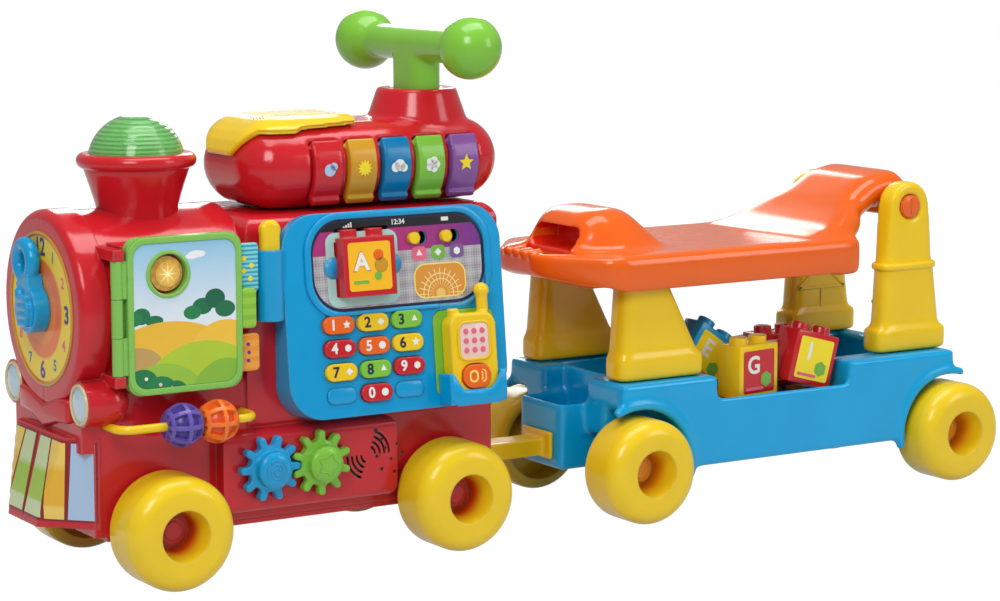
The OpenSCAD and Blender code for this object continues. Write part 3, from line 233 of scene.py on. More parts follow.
def moulded(name, color, roughness, edge, coat=0.2, grain=0.04, glow=0.0):
    """A moulded plastic; color is a colour or a function that paints one from the tree."""
    finish, tree, shader = blank_finish(name)
    paint = color(tree) if callable(color) else color
    body, bump = moulding_in(tree, shader, paint, roughness, edge, grain, 0.0004)
    for label in ("Height", "Normal"):
        feed(tree, bump.inputs[label], body.outputs[label])
    shader.inputs["Specular IOR Level"].default_value = 0.32
    shader.inputs["Coat Weight"].default_value = coat
    shader.inputs["Coat Roughness"].default_value = 0.08
    if glow:
        feed(tree, shader.inputs["Emission Color"], body.outputs["Color"])
        shader.inputs["Emission Strength"].default_value = glow
    return finish


def place_of(tree):
    """Object coordinates in millimetres, as three values."""
    split = node_in(tree, "ShaderNodeSeparateXYZ")
    scaled = node_in(tree, "ShaderNodeVectorMath", operation="SCALE")
    scaled.inputs["Scale"].default_value = 1000
    feed(tree, scaled.inputs[0], node_in(tree, "ShaderNodeTexCoord").outputs["Object"])
    feed(tree, split.inputs[0], scaled.outputs[0])
    return [Value(tree, socket) for socket in split.outputs]


def dial_colors(tree):
    """Yellow outer ring and orange middle of the clock's face, with thin printed rings."""
    x, y, z = place_of(tree)
    reach = distance(y, z - BOILER_Z)
    color = (236, 150, 40)
    for radius, paint in ((52.6, (246, 212, 34)), (37, (250, 176, 44)), (35.6, (240, 120, 48)),
                          (26, (245, 138, 58))):
        color = (reach < radius).mix(color, paint)
    return color


def landscape_colors(tree):
    """A plain printed landscape for the book's cover, as ovals: cloud, trees, corn, path and meadow."""
    x, y, z = place_of(tree)
    color = z.share(195, 250).mix((228, 238, 246), (150, 205, 236))
    for middle_x, middle_z, width, height, paint in (
            (-322, 241, 7, 2.6, (246, 249, 252)), (-326, 239.5, 5, 2, (246, 249, 252)),
            (-366, 199, 7, 6, (24, 120, 74)), (-373, 197, 8, 5, (30, 130, 76)),
            (-356, 195, 7, 4, (24, 120, 74)),
            (-318, 203, 8, 6, (22, 112, 72)), (-308, 208, 8, 7, (16, 100, 70)),
            (-300, 200, 8, 6, (22, 112, 72)), (-326, 199, 7, 5, (30, 130, 76)),
            (-345, 156, 58, 38, (240, 190, 56)), (-300, 168, 28, 24, (244, 196, 64)),
            (-372, 164, 22, 13, (196, 160, 92)),
            (-318, 132, 52, 46, (178, 206, 52)), (-350, 122, 40, 42, (150, 196, 60)),
            (-300, 124, 32, 40, (136, 188, 58)),
            (-366, 151, 12, 10, (22, 120, 70)), (-352, 146, 12, 9, (26, 128, 72)),
            (-340, 143, 9, 8, (22, 120, 70)),
            (-363, 154, 1.3, 1.3, (246, 240, 236)), (-352, 149, 1.3, 1.3, (246, 206, 210)),
            (-343, 146, 1.2, 1.2, (246, 240, 236))):
        inside = distance((x - middle_x) / width, (z - middle_z) / height) < 1
        color = inside.mix(color, paint)
    return color


def screen_colors(tree):
    """A dark bar, a magenta band and a grey weave, as printed under the console's window."""
    x, y, z = place_of(tree)
    fine = x.wave(1.1) / 1.1 + z.wave(1.0)
    coarse = x.wave(5.3) / 5.3 + z.wave(4.9) / 4.9
    weave = (fine + coarse) * 0.25
    color = weave.mix((112, 112, 128), (214, 210, 208))
    blush = (weave * 0.5).mix((170, 36, 112), (190, 70, 150))
    blush = x.share(-150, -80).mix(blush, (116, 46, 138))
    color = (z > 231).mix(color, blush)
    return (z > 248.5).mix(color, (14, 15, 26))


def tuner_colors(tree):
    """An orange scale with a fan of fine rays and two arcs."""
    x, y, z = place_of(tree)
    across, up = x + 117, z - 197
    reach = distance(across, up)
    print_lines = (up.then("ARCTAN2", across).wave(0.131) < 0.02) * (reach > 6) * (reach < 19)
    for radius in (11, 15):
        print_lines = print_lines.then("MAXIMUM", abs(reach - radius) < 0.35)
    color = print_lines.mix((222, 150, 52), (250, 226, 160))
    return (reach < 4).mix(color, (240, 200, 110))


def stripe_colors(pale, bright, low, high):
    """A printed stripe that is bright in its middle and pale at both ends."""
    def paint(tree):
        x, y, z = place_of(tree)
        ramp = node_in(tree, "ShaderNodeValToRGB")
        feed(tree, ramp.inputs["Fac"], z.share(low, high))
        for end in ramp.color_ramp.elements:
            end.color = tone(*pale)
        for spot, color in ((0.24, pale), (0.27, bright), (0.58, bright), (0.66, pale)):
            ramp.color_ramp.elements.new(spot).color = tone(*color)
        return ramp.outputs["Color"]
    return paint


def tab_colors(ground, lines, pitch):
    """An index tab with fine printed lines."""
    def paint(tree):
        x, y, z = place_of(tree)
        return (z.wave(pitch) < pitch * 0.45).mix(ground, lines)
    return paint


def lamp_colors(tree):
    """Amber glass with a painted highlight, a bright star-shaped glint, in its middle, on amber that is paler
    towards the middle.
    """
    x, y, z = place_of(tree)
    across, up = x - BOOK_LAMP_X, z - BOOK_LAMP_Z
    reach = distance(across, up)
    # Painted highlight: a star-shaped glint, brightest at the lamp's middle.
    turn = up.then("ARCTAN2", across) * 4
    ray = abs(turn.then("COSINE")) ** 6 * 6.0 + 2.5
    star = (reach / ray).then("MULTIPLY_ADD", -1, 1, clamp=True)
    cells = node_in(tree, "ShaderNodeTexVoronoi")
    cells.inputs["Scale"].default_value = 260
    feed(tree, cells.inputs["Vector"], node_in(tree, "ShaderNodeTexCoord").outputs["Object"])
    amber = mix_in(tree, cells.outputs["Distance"], (120, 78, 16), (206, 150, 42))
    amber = reach.then("DIVIDE", 15, clamp=True).mix((236, 190, 70), amber)
    return star.mix(amber, (255, 244, 190))


def clear_dome(name, color):
    """Tinted clear plastic with a rippled inside."""
    finish, tree, shader = blank_finish(name)
    x, y, z = place_of(tree)
    ring = z.wave(1.5) / 1.5
    body, bump = moulding_in(tree, shader, ring.mix((104, 186, 84), color), 0.12, 0.4, 0.5, 0.001)
    feed(tree, bump.inputs["Height"], ring)
    shader.inputs["Transmission Weight"].default_value = 0.5
    shader.inputs["IOR"].default_value = 1.35
    shader.inputs["Coat Weight"].default_value = 0.6
    return finish


def wheel_colors(middle, hub_shade_color):
    """Yellow with painted shade: it turns to a deeper colour down the hub of the wheel whose axle is at
    middle.
    """
    def paint(tree):
        x, y, z = place_of(tree)
        reach = distance(x - middle, z - AXLE_Z)
        # Painted shade, deepest inside the hub's recess.
        hub = reach.share(19, 14, "SMOOTHSTEP") * abs(y).share(103, 86, "SMOOTHSTEP")
        return hub.mix((242, 206, 30), hub_shade_color)
    return paint


def grip_colors(tree):
    """The seat's orange, with painted shade that makes it deeper and redder inside the hollow of its grip."""
    x, y, z = place_of(tree)
    # Painted shade inside the grip's hollow.
    inside = (abs(x - 45) < 19) * (abs(y) < 31.5) * (abs(z - 220) < 10.5)
    return inside.mix(ORANGE, (226, 44, 20))


def brushed_steel(name):
    finish, tree, shader = blank_finish(name)
    line = noise_in(tree, 400, 2)
    feed(tree, shader.inputs["Base Color"], line.mix((150, 152, 156), (206, 208, 212)))
    feed(tree, shader.inputs["Roughness"], line * 0.2 + 0.2)
    shader.inputs["Metallic"].default_value = 1.0
    return finish


ORANGE, WHITE = (240, 102, 22), (240, 240, 236)
MOULDING = build_moulding()
# Each row: material name, colour or painter, roughness, edge radius, coat, grain and glow.
FINISH = {key: moulded(*row) for key, row in {
    "red": ("red_gloss", (202, 30, 40), 0.16, 2.2),
    "deep_red": ("deep_red_gloss", (140, 16, 30), 0.3, 0.5),
    "yellow": ("yellow_gloss", (244, 204, 24), 0.2, 1.8),
    "blue": ("blue_gloss", (0, 156, 214), 0.2, 2.2),
    "tub": ("tub_blue", (0, 166, 226), 0.2, 1.0),
    "green": ("green_gloss", (128, 196, 62), 0.2, 1.6),
    "book": ("book_green", (132, 196, 88), 0.28, 1.0),
    "orange": ("orange_gloss", ORANGE, 0.2, 2.0),
    "seat": ("seat_gloss", grip_colors, 0.16, 0.6),
    "purple": ("purple_gloss", (104, 84, 176), 0.28, 1.0),
    "ochre": ("ochre_gloss", (206, 150, 34), 0.24, 1.6),
    "teal": ("teal_gloss", (0, 122, 176), 0.24, 1.6),
    "lilac": ("lilac_gloss", (136, 84, 158), 0.24, 1.6),
    # The lamp's painter gives it a painted star-shaped glint.
    "amber": ("amber_lamp", lamp_colors, 0.12, 0.4, 0.8, 0.02, 0.25),
    "amber_cap": ("amber_cap", (238, 158, 30), 0.28, 0.8),
    "black": ("black_gloss", (18, 18, 20), 0.35, 0.6),
    "board": ("board_green", (30, 96, 60), 0.5, 0.2, 0.0),
    "dial": ("dial_print", dial_colors, 0.32, 0.2),
    "landscape": ("landscape_print", landscape_colors, 0.35, 0.2),
    "screen": ("screen_print", screen_colors, 0.3, 0.3),
    "white": ("white_print", WHITE, 0.4, 0.1, 0.1),
    "navy": ("navy_print", (28, 34, 66), 0.4, 0.1, 0.1),
    "violet": ("violet_print", (86, 54, 140), 0.4, 0.1, 0.1),
    "pink": ("pink_print", (232, 104, 134), 0.4, 0.1, 0.1),
    "sky": ("sky_print", (172, 200, 232), 0.22, 0.4, 0.5),
    "lens": ("lens_blue", (190, 212, 228), 0.12, 0.6, 0.8),
    "lamp_rim": ("lamp_rim", (216, 204, 156), 0.24, 0.4),
    "cream": ("cream_print", (250, 226, 110), 0.35, 0.2),
    "marigold": ("marigold_print", (252, 190, 22), 0.32, 0.2),
    "lemon": ("lemon_print", (250, 226, 40), 0.32, 0.2),
    "mist": ("mist_print", (176, 220, 212), 0.3, 0.3, 0.4),
    "blush": ("blush_print", (240, 206, 196), 0.3, 0.3, 0.4),
    "lime_stripe": ("lime_stripe", stripe_colors((206, 222, 168), (162, 200, 46), 46, 108), 0.25, 0.3, 0.5),
    "gold_stripe": ("gold_stripe", stripe_colors((240, 206, 96), (234, 180, 36), 40, 118), 0.25, 0.3, 0.5),
    "blue_tab": ("blue_tab", tab_colors((128, 214, 214), (48, 158, 198), 1.6), 0.3, 0.6),
    "green_tab": ("green_tab", tab_colors((150, 204, 66), (132, 192, 58), 4), 0.3, 0.6),
    "orange_tab": ("orange_tab", tab_colors((246, 164, 62), (240, 150, 50), 4), 0.3, 0.6),
    # Darker purple and orange: painted shade for the beads' sunk cells and the seat's pivot grooves.
    "shaded_purple": ("shaded_purple", (70, 54, 142), 0.35, 0.3),
    "bead_orange": ("bead_orange", (246, 122, 40), 0.28, 0.5),
    "shaded_orange": ("shaded_orange", (222, 84, 24), 0.35, 0.3),
    "leaf": ("leaf_print", (118, 182, 66), 0.35, 0.2),
    "lilac_print": ("lilac_print", (122, 86, 150), 0.35, 0.2),
    "tuner": ("tuner_print", tuner_colors, 0.32, 0.2, 0.3),
}.items()}
FINISH["steel"] = brushed_steel("axle_steel")
FINISH["dome"] = clear_dome("green_lamp", (160, 236, 150))
# The hub colours are painted shade for the recesses of the wheel hubs.
for vehicle, axles, hub in (("loco", LOCO_AXLES, (206, 70, 16)), ("wagon", WAGON_AXLES, (226, 140, 10))):
    for end, x in axles.items():
        wheel = "%s_%s_wheel" % (vehicle, end)
        FINISH[wheel] = moulded(wheel, wheel_colors(x, hub), 0.24, 3.0)


# Modelling helpers

def clear():
    bpy.ops.object.select_all(action="DESELECT")


def take(*pieces):
    """Selects these pieces alone, the first one active."""
    clear()
    for piece in pieces:
        piece.select_set(True)
    bpy.context.view_layer.objects.active = pieces[0]


def edit():
    bpy.ops.object.mode_set(mode="EDIT")
    bpy.ops.mesh.select_all(action="SELECT")


def done():
    bpy.ops.object.mode_set(mode="OBJECT")


def new_piece(name):
    """The primitive that was just added, under its own name."""
    piece = bpy.context.object
    piece.name = name
    return piece


def apply(piece, kind, **settings):
    """Applies one modifier to the piece that is taken."""
    change = piece.modifiers.new("change", kind)
    for key, value in settings.items():
        setattr(change, key, value)
    bpy.ops.object.modifier_apply(modifier=change.name)


def smooth(piece, angle):
    take(piece)
    bpy.ops.object.shade_smooth_by_angle(angle=math.radians(angle))


def face_out(piece):
    """Turns the faces of a piece outwards."""
    take(piece)
    edit()
    bpy.ops.mesh.normals_make_consistent(inside=False)
    done()


def soften(piece, width, segments=3):
    """Rounds the sharp edges of a piece."""
    take(piece)
    apply(piece, "BEVEL", width=width * MM, segments=segments, limit_method="ANGLE",
          angle_limit=math.radians(SHARP), use_clamp_overlap=False)


def carrier(node):
    if node in frame["bodies"]:
        return node
    return "wagon" if node in WAGON_NODES else "locomotive"


def dress(piece, finish, body, slot=None, angle=GENTLE):
    """Gives a piece its material, shading and body; its slot, the finish's own plastic if none is named, is
    worked out but given to nothing.
    """
    slot = slot or finish + "_plastic"
    piece.data.materials.clear()
    piece.data.materials.append(FINISH[finish])
    smooth(piece, angle)
    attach(piece, body)


def copy_of(node, name=None):
    """A copy of a solid's mesh with its triangles joined up."""
    clear()
    piece = bpy.data.objects.new(name or node + "_skin", frame["nodes"][node].data.copy())
    bpy.context.collection.objects.link(piece)
    take(piece)
    bpy.ops.mesh.customdata_custom_splitnormals_clear()
    edit()
    bpy.ops.mesh.remove_doubles(threshold=0.00001)
    done()
    return piece


def stand_for(piece, node, finish, slot=None, angle=ROUND):
    """Dresses a piece that is shown in a solid's place."""
    dress(piece, finish, carrier(node), slot, angle)
    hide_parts(node)
    return piece


def skin(node, finish, slot=None):
    """The solid's own shape with smooth shading."""
    return stand_for(copy_of(node), node, finish, slot, GENTLE)


def run_soft(piece, voxel, rounds, more=()):
    """Runs every edge of a piece soft, as a thick moulding has; more pieces run into it."""
    take(piece, *more)
    if more:
        bpy.ops.object.join()
    apply(piece, "REMESH", mode="VOXEL", voxel_size=voxel * MM)
    apply(piece, "SMOOTH", factor=0.5, iterations=rounds)
    return piece


def melted(node, finish, voxel, rounds, more=(), slot=None):
    """The solid's shape with its edges run soft."""
    stand_for(run_soft(copy_of(node), voxel, rounds, more), node, finish, slot)


def basis(origin, across, up):
    """A place on a face: its origin, and the directions of its width and height."""
    across, up = Vector(across).normalized(), Vector(up).normalized()
    matrix = Matrix((across, up, across.cross(up))).transposed().to_4x4()
    matrix.translation = Vector(origin) * MM
    return matrix


def on_left(x, y, z):
    return basis((x, y, z), (1, 0, 0), (0, 0, 1))


def on_right(x, y, z):
    return basis((x, y, z), (-1, 0, 0), (0, 0, 1))


def on_front(x, y, z):
    return basis((x, y, z), (0, -1, 0), (0, 0, 1))


def on_rear(x, y, z):
    return basis((x, y, z), (0, 1, 0), (0, 0, 1))


def on_top(x, y, z):
    return basis((x, y, z), (1, 0, 0), (0, 1, 0))


def put(piece, matrix):
    """Moves a piece that was made at the origin to its place, and leaves the place in its mesh."""
    take(piece)
    piece.matrix_world = matrix
    bpy.ops.object.transform_apply(location=True, rotation=True, scale=True)
    return piece


def stick(piece, matrix, finish, slot=None, body="locomotive"):
    """Puts a made piece on a face and dresses it."""
    dress(put(piece, matrix), finish, body, slot)


def shift(piece, offset):
    take(piece)
    piece.location = Vector(offset) * MM
    bpy.ops.object.transform_apply(location=True, rotation=False, scale=False)


def thicken(piece, thick, soft, offset):
    """Gives a flat outline its thickness, soft edges and place."""
    take(piece)
    edit()
    bpy.ops.mesh.extrude_region_move(TRANSFORM_OT_translate={"value": (0, 0, thick * MM)})
    done()
    face_out(piece)
    if soft:
        soften(piece, soft)
    shift(piece, offset)
    return piece


def plate(name, width, height, corner, thick, soft=0.0, offset=(0, 0, 0)):
    """A plate with round corners that lies on its back at the origin."""
    clear()
    bpy.ops.mesh.primitive_plane_add(size=1)
    piece = new_piece(name)
    piece.scale = (width * MM, height * MM, 1)
    bpy.ops.object.transform_apply(location=False, rotation=False, scale=True)
    if corner:
        edit()
        bpy.ops.mesh.bevel(offset=corner * MM, segments=8, affect="VERTICES")
        done()
    return thicken(piece, thick, soft, offset)


def ring_plate(name, width, height, corner, band, thick, soft=0.0):
    """The border of a round-cornered plate."""
    piece = plate(name, width, height, corner, thick)
    take(piece)
    edit()
    bpy.ops.mesh.select_mode(type="FACE")
    bpy.ops.mesh.select_all(action="DESELECT")
    done()
    for face in piece.data.polygons:
        face.select = abs(face.normal.z) > 0.9
    bpy.ops.object.mode_set(mode="EDIT")
    bpy.ops.mesh.inset(thickness=band * MM)
    bpy.ops.mesh.bridge_edge_loops()
    bpy.ops.mesh.select_all(action="SELECT")
    bpy.ops.mesh.normals_make_consistent(inside=False)
    bpy.ops.mesh.select_mode(type="VERT")
    done()
    if soft:
        soften(piece, soft)
    return piece


def disc(name, radius, thick, soft=0.0, offset=(0, 0, 0), sides=48, waist=1.0):
    """A round plate, or a star where waist draws in every second corner."""
    clear()
    bpy.ops.mesh.primitive_circle_add(vertices=sides, radius=radius * MM, fill_type="NGON")
    piece = new_piece(name)
    if waist != 1.0:
        for vertex in list(piece.data.vertices)[1::2]:
            vertex.co *= waist
    return thicken(piece, thick, soft, offset)


def outline(name, points, thick, soft=0.0):
    """A plate with the given corners that lies on its back at the origin."""
    clear()
    bpy.ops.mesh.primitive_circle_add(vertices=len(points), radius=0.01, fill_type="NGON")
    piece = new_piece(name)
    for vertex, (across, up) in zip(piece.data.vertices, points):
        vertex.co = (across * MM, up * MM, 0)
    return thicken(piece, thick, soft, (0, 0, 0))


def turned(name, points, steps=64, sweep=math.tau):
    """A shape turned about its own Z axis from (radius, height) points."""
    clear()
    bpy.ops.mesh.primitive_plane_add(size=0.001)
    piece = new_piece(name)
    edit()
    bpy.ops.mesh.merge(type="CENTER")
    bpy.ops.transform.translate(value=(points[0][0] * MM, 0, points[0][1] * MM))
    for before, after in zip(points, points[1:]):
        step = ((after[0] - before[0]) * MM, 0, (after[1] - before[1]) * MM)
        bpy.ops.mesh.extrude_vertices_move(TRANSFORM_OT_translate={"value": step})
    bpy.ops.mesh.select_all(action="SELECT")
    bpy.ops.mesh.spin(steps=steps, angle=sweep, center=(0, 0, 0), axis=(0, 0, 1))
    bpy.ops.mesh.select_all(action="SELECT")
    bpy.ops.mesh.remove_doubles(threshold=0.000005)
    bpy.ops.mesh.normals_make_consistent(inside=False)
    done()
    return piece


def swept(name, points, start, end):
    """A closed outline of (radius, height) points turned about its own Z axis from one angle to another."""
    piece = turned(name, points, 40, math.radians(end - start))
    take(piece)
    edit()
    bpy.ops.mesh.fill_holes(sides=0)
    bpy.ops.mesh.normals_make_consistent(inside=False)
    done()
    return put(piece, Matrix.Rotation(math.radians(end), 4, "Z"))


def capsule(name, radius, length):
    """A round-ended rod along its own X axis."""
    clear()
    bpy.ops.mesh.primitive_uv_sphere_add(segments=20, ring_count=12, radius=radius * MM)
    piece = new_piece(name)
    for vertex in piece.data.vertices:
        if abs(vertex.co.x) > 1e-7:
            vertex.co.x += math.copysign((length / 2 - radius) * MM, vertex.co.x)
    return piece


def lettering(name, words, size, thick, matrix, finish, slot, body="locomotive", offset=(0, 0, 0)):
    """Raised printed characters on a face."""
    clear()
    bpy.ops.object.text_add()
    piece = new_piece(name)
    text = piece.data
    text.body = words
    text.size = size * MM
    text.align_x = text.align_y = "CENTER"
    text.extrude = thick / 2 * MM
    text.offset = 0.026 * size * MM
    text.resolution_u = 4
    bpy.ops.object.convert(target="MESH")
    shift(piece, (offset[0], offset[1], offset[2] + thick / 2))
    stick(piece, matrix, finish, slot, body)


def joined(name, pieces):
    take(*pieces)
    bpy.ops.object.join()
    return new_piece(name)


def cut_by(piece, drill):
    """Takes the shape of one piece out of another."""
    take(piece)
    apply(piece, "BOOLEAN", operation="DIFFERENCE", object=drill)
    bpy.data.objects.remove(drill)


def cut_round(piece, radius, place, turn=(0, 0, 0)):
    """Drills a round hole through a piece."""
    clear()
    bpy.ops.mesh.primitive_cylinder_add(vertices=40, radius=radius * MM, depth=60 * MM,
                                        location=Vector(place) * MM, rotation=turn)
    cut_by(piece, bpy.context.object)


# Solids shown in their own shape, or with their edges run soft

for node in ("body_left_shell", "body_right_shell", "underside_tray", "battery_door"):
    skin(node, "red")
melted("handlebar", "green", 1.3, 24)
funnel = skin("funnel", "red")
FUNNEL_X, FUNNEL_FOOT, FUNNEL_FLARE, FOOT_SHARE = -330.5, 268, 29, 0.86
for vertex in funnel.data.vertices:
    rise = min(1, max(0, (vertex.co.z - FUNNEL_FOOT * MM) / (FUNNEL_FLARE * MM)))
    share = FOOT_SHARE + (1 - FOOT_SHARE) * rise
    vertex.co.x = FUNNEL_X * MM + (vertex.co.x - FUNNEL_X * MM) * share
    vertex.co.y *= share
skin("funnel_dome", "dome")
skin("book_lamp", "amber")
skin("book_cover", "book", "green_plastic")
skin("book_leaf", "book", "green_plastic")
skin("bead_rod", "yellow")
for color in ("blue", "green"):
    melted("gear_" + color, color, 0.9, 5)
skin("speaker", "black")
skin("circuit_board", "board", "board")
skin("console_panel", "blue")
skin("console_screen", "screen")
skin("phone_cradle", "green")
skin("phone_button", "orange")
skin("letter_block", "red")
skin("mode_slider", "yellow")
skin("volume_slider", "yellow")
paddle = put(plate("paddle", 15, 28, 7, 9, 3), on_left(-259, -67.6, 246.6))
melted("whistle_lever", "yellow", 0.8, 5, [paddle])
for number, finish in enumerate(("red", "ochre", "teal", "green", "lilac"), 1):
    melted("piano_key_%d" % number, finish, 0.9, 6, slot="red_plastic")
for number, finish in enumerate(("red", "orange", "yellow", "green", "red", "orange", "yellow",
                                 "yellow", "green", "red")):
    melted("number_key_%d" % number, finish, 0.5, 5, slot="yellow_plastic")
CAP_Y = 70
# The axle ends are real caps; their red on the locomotive and amber on the wagon is painted shade deep in the
# wheel hubs.
for vehicle, cap in (("loco", "red"), ("wagon", "amber_cap")):
    rods = skin(vehicle + "_axles", "steel", "axle_steel")
    rods.data.materials.append(FINISH[cap])
    for face in rods.data.polygons:
        face.material_index = int(abs(face.center.y) > CAP_Y * MM)
    for end in ("front", "rear"):
        for hand, side in HANDS:
            skin("%s_wheel_%s_%s" % (vehicle, end, hand), "%s_%s_wheel" % (vehicle, end), "yellow_plastic")
melted("front_posts", "yellow", 1.6, 34)
feet = [put(plate("foot", 77, 25.6, 8, 20), on_top(353.6, side * 60.6, 111.5)) for hand, side in HANDS]
melted("rear_posts", "yellow", 1.6, 34, feet)
melted("drawbar", "yellow", 1.2, 4)


# Front of the locomotive: clock, headlamps, bumper and plow

dial_place = on_front(DIAL_X, 0, BOILER_Z)
stick(disc("clock_face", DIAL_R, 0.1, sides=96), dial_place, "dial", "yellow_plastic")
stick(turned("clock_rim", [(53.8, 0), (53.8, 0.7), (54.8, 1.3), (56.2, 0.9), (56.8, 0), (53.8, 0)], 96),
      dial_place, "ochre", "yellow_plastic")
for hour in range(1, 13):
    angle = math.radians(90 - 30 * hour)
    large = hour % 3 == 0
    lettering("clock_numeral_%d" % hour, str(hour), 18 if large else 11.5, 0.1, dial_place,
              "violet" if large else ("pink", "teal")[hour % 2], "purple_plastic",
              offset=(NUMERAL_REACH * math.cos(angle), NUMERAL_REACH * math.sin(angle), 0.12))

LENS = [(0, 3.0), (5, 2.7), (9.5, 1.7), (12.6, 0.2), (12.6, -1), (0, -1)]
LENS_RIM = [(12.6, 0), (12.6, 1), (13.4, 1.8), (14.6, 1.4), (15.2, 0), (12.6, 0)]
for hand, side in HANDS:
    place = on_front(HEADLAMP_X, side * HEADLAMP_Y, HEADLAMP_Z)
    stick(turned("headlamp_lens_" + hand, LENS), place, "lens", "screen_plastic")
    stick(turned("headlamp_rim_" + hand, LENS_RIM), place, "lamp_rim", "yellow_plastic")

stick(outline("bumper_ridge", [(-44, 27.6), (-24, 26), (0, 19), (24, 26), (44, 27.6), (44, 9.6), (24, 8),
                               (0, 1), (-24, 8), (-44, 9.6)], 22, 3.2),
      on_front(-387, 0, 110), "red")

PLOW_X, PLOW_FLOOR, PLOW_RISE, PLOW_LEAN = -426.5, 44, 66, 16
PLOW_FLAT, WING_BACK, WING_OUT, WING_RUN = 26, 34, 35, 48.8


def on_plow(along, height, proud):
    """A point on the plow's front: along its outline from the middle, and above the floor."""
    lean = PLOW_LEAN * (height - PLOW_FLOOR) / PLOW_RISE
    flat = PLOW_FLAT + lean * WING_OUT / WING_BACK
    side, reach = (1 if along < 0 else -1), abs(along)
    if reach <= flat:
        return Vector((PLOW_X + lean - proud, side * reach, height)) * MM
    run = reach - flat
    return Vector((PLOW_X + lean + run * WING_BACK / WING_RUN - proud * 0.72,
                   side * (flat + run * WING_OUT / WING_RUN + proud * 0.7), height)) * MM


def plow_strip(name, low, high, rows, finish, slot, proud, steps):
    """A printed strip that follows the plow's bend; low and high are its spans at the bottom and the top."""
    clear()
    bpy.ops.mesh.primitive_grid_add(x_subdivisions=steps, y_subdivisions=6, size=1)
    piece = new_piece(name)
    for vertex in piece.data.vertices:
        part, rise = vertex.co.x + 0.5, vertex.co.y + 0.5
        start, end = (low[i] * (1 - rise) + high[i] * rise for i in (0, 1))
        vertex.co = on_plow(start + (end - start) * part, rows[0] + (rows[1] - rows[0]) * rise, proud)
    face_out(piece)
    if sum(face.normal.x for face in piece.data.polygons) > 0:
        edit()
        bpy.ops.mesh.flip_normals()
        done()
    apply(piece, "SOLIDIFY", thickness=0.5 * MM, offset=1)
    dress(piece, finish, "locomotive", slot, ROUND)


for hand, side in HANDS:
    for name, low, high, rows, finish, slot, proud, steps in (
            ("ground", (0.6, 73.4), (2.4, 68), (49, 108), "deep_red", "red_plastic", 0.0, 22),
            ("lime", (2.6, 29), (4.4, 22), (51, 106.4), "lime_stripe", "green_plastic", 0.5, 14),
            ("gold", (32, 47.4), (25, 44), (50.5, 106.4), "gold_stripe", "yellow_plastic", 0.5, 14),
            ("sky", (50.2, 71.8), (48.5, 66.4), (50.5, 106.4), "sky", "blue_plastic", 0.5, 14)):
        if side > 0:
            low, high = (-low[1], -low[0]), (-high[1], -high[0])
        plow_strip("plow_%s_%s" % (name, hand), low, high, rows, finish, slot, proud, steps)

fingers = []
for index in range(4):
    finger = capsule("finger", 2.9, 19 - 1.6 * abs(index - 1.5))
    fingers.append(put(finger, basis((-422.3, -1.5, 206.6 - 6.0 * index), (0, 1, -0.1), (-1, 0, 0))))
thumb = put(capsule("thumb", 4.2, 16), basis((-419.5, 9.5, 206), (0, 0.35, 1), (-1, 0, 0)))
melted("clock_hand", "blue", 0.6, 2, fingers + [thumb])

stick(turned("boiler_band", [(69.6, 0), (70.5, 0.2), (70.7, 1), (70.5, 1.8), (69.6, 2), (69.6, 0)], 120),
      on_front(-392.5, 0, BOILER_Z), "red")


# Right side and rear of the locomotive: window frames, panels, vents and screw wells

for name, width, height, corner, band, thick, place in (
        ("window_front", 78, 64, 16, 6, 2.4, on_right(WINDOWS["front"], CAB_SIDE, WINDOW_Z)),
        ("window_rear", 78, 64, 16, 6, 2.4, on_right(WINDOWS["rear"], CAB_SIDE, WINDOW_Z)),
        ("waist_panel", 178, 36, 12, 4, 1.8, on_right(-168, CAB_SIDE, 144)),
        ("rear_panel", 92, 104, 18, 5, 2.0, on_rear(CAB_REAR, 0, 180)),
        ("boiler_panel", 84, 18, 8, 2.6, 1.2, on_right(-331, 70, BOILER_Z))):
    stick(ring_plate(name, width, height, corner, band, thick, 0.8), place, "red")
for end, x in WINDOWS.items():
    pane = plate("pane_" + end, 68, 54, 11, 0.5, 0.2)
    stick(pane, on_right(x, CAB_SIDE, WINDOW_Z), "deep_red", "red_plastic")
# The vents are darker red plates: painted shade standing in for the slots.
slots = [plate("vent", 5, 32, 2.4, 0.4, offset=(12 * index, 0, 0)) for index in range(-4, 5)]
stick(joined("skirt_vents", slots), on_right(-222, SKIRT_SIDE, 76), "deep_red", "red_plastic")
wells, heads = [], []
for x, z in ((-263, 121), (-263, 238), (-168, 238), (-68, 238), (-68, 121)):
    well = turned("well", [(3, -0.4), (3, 1.2), (4.6, 1.2), (5.6, -0.4), (3, -0.4)], 28)
    wells.append(put(well, on_right(x, CAB_SIDE, z)))
    heads.append(put(disc("head", 3.1, 0.3, sides=24), on_right(x, CAB_SIDE, z)))
dress(joined("screw_wells", wells), "red", "locomotive")
dress(joined("screw_heads", heads), "steel", "locomotive", "axle_steel")


# Book

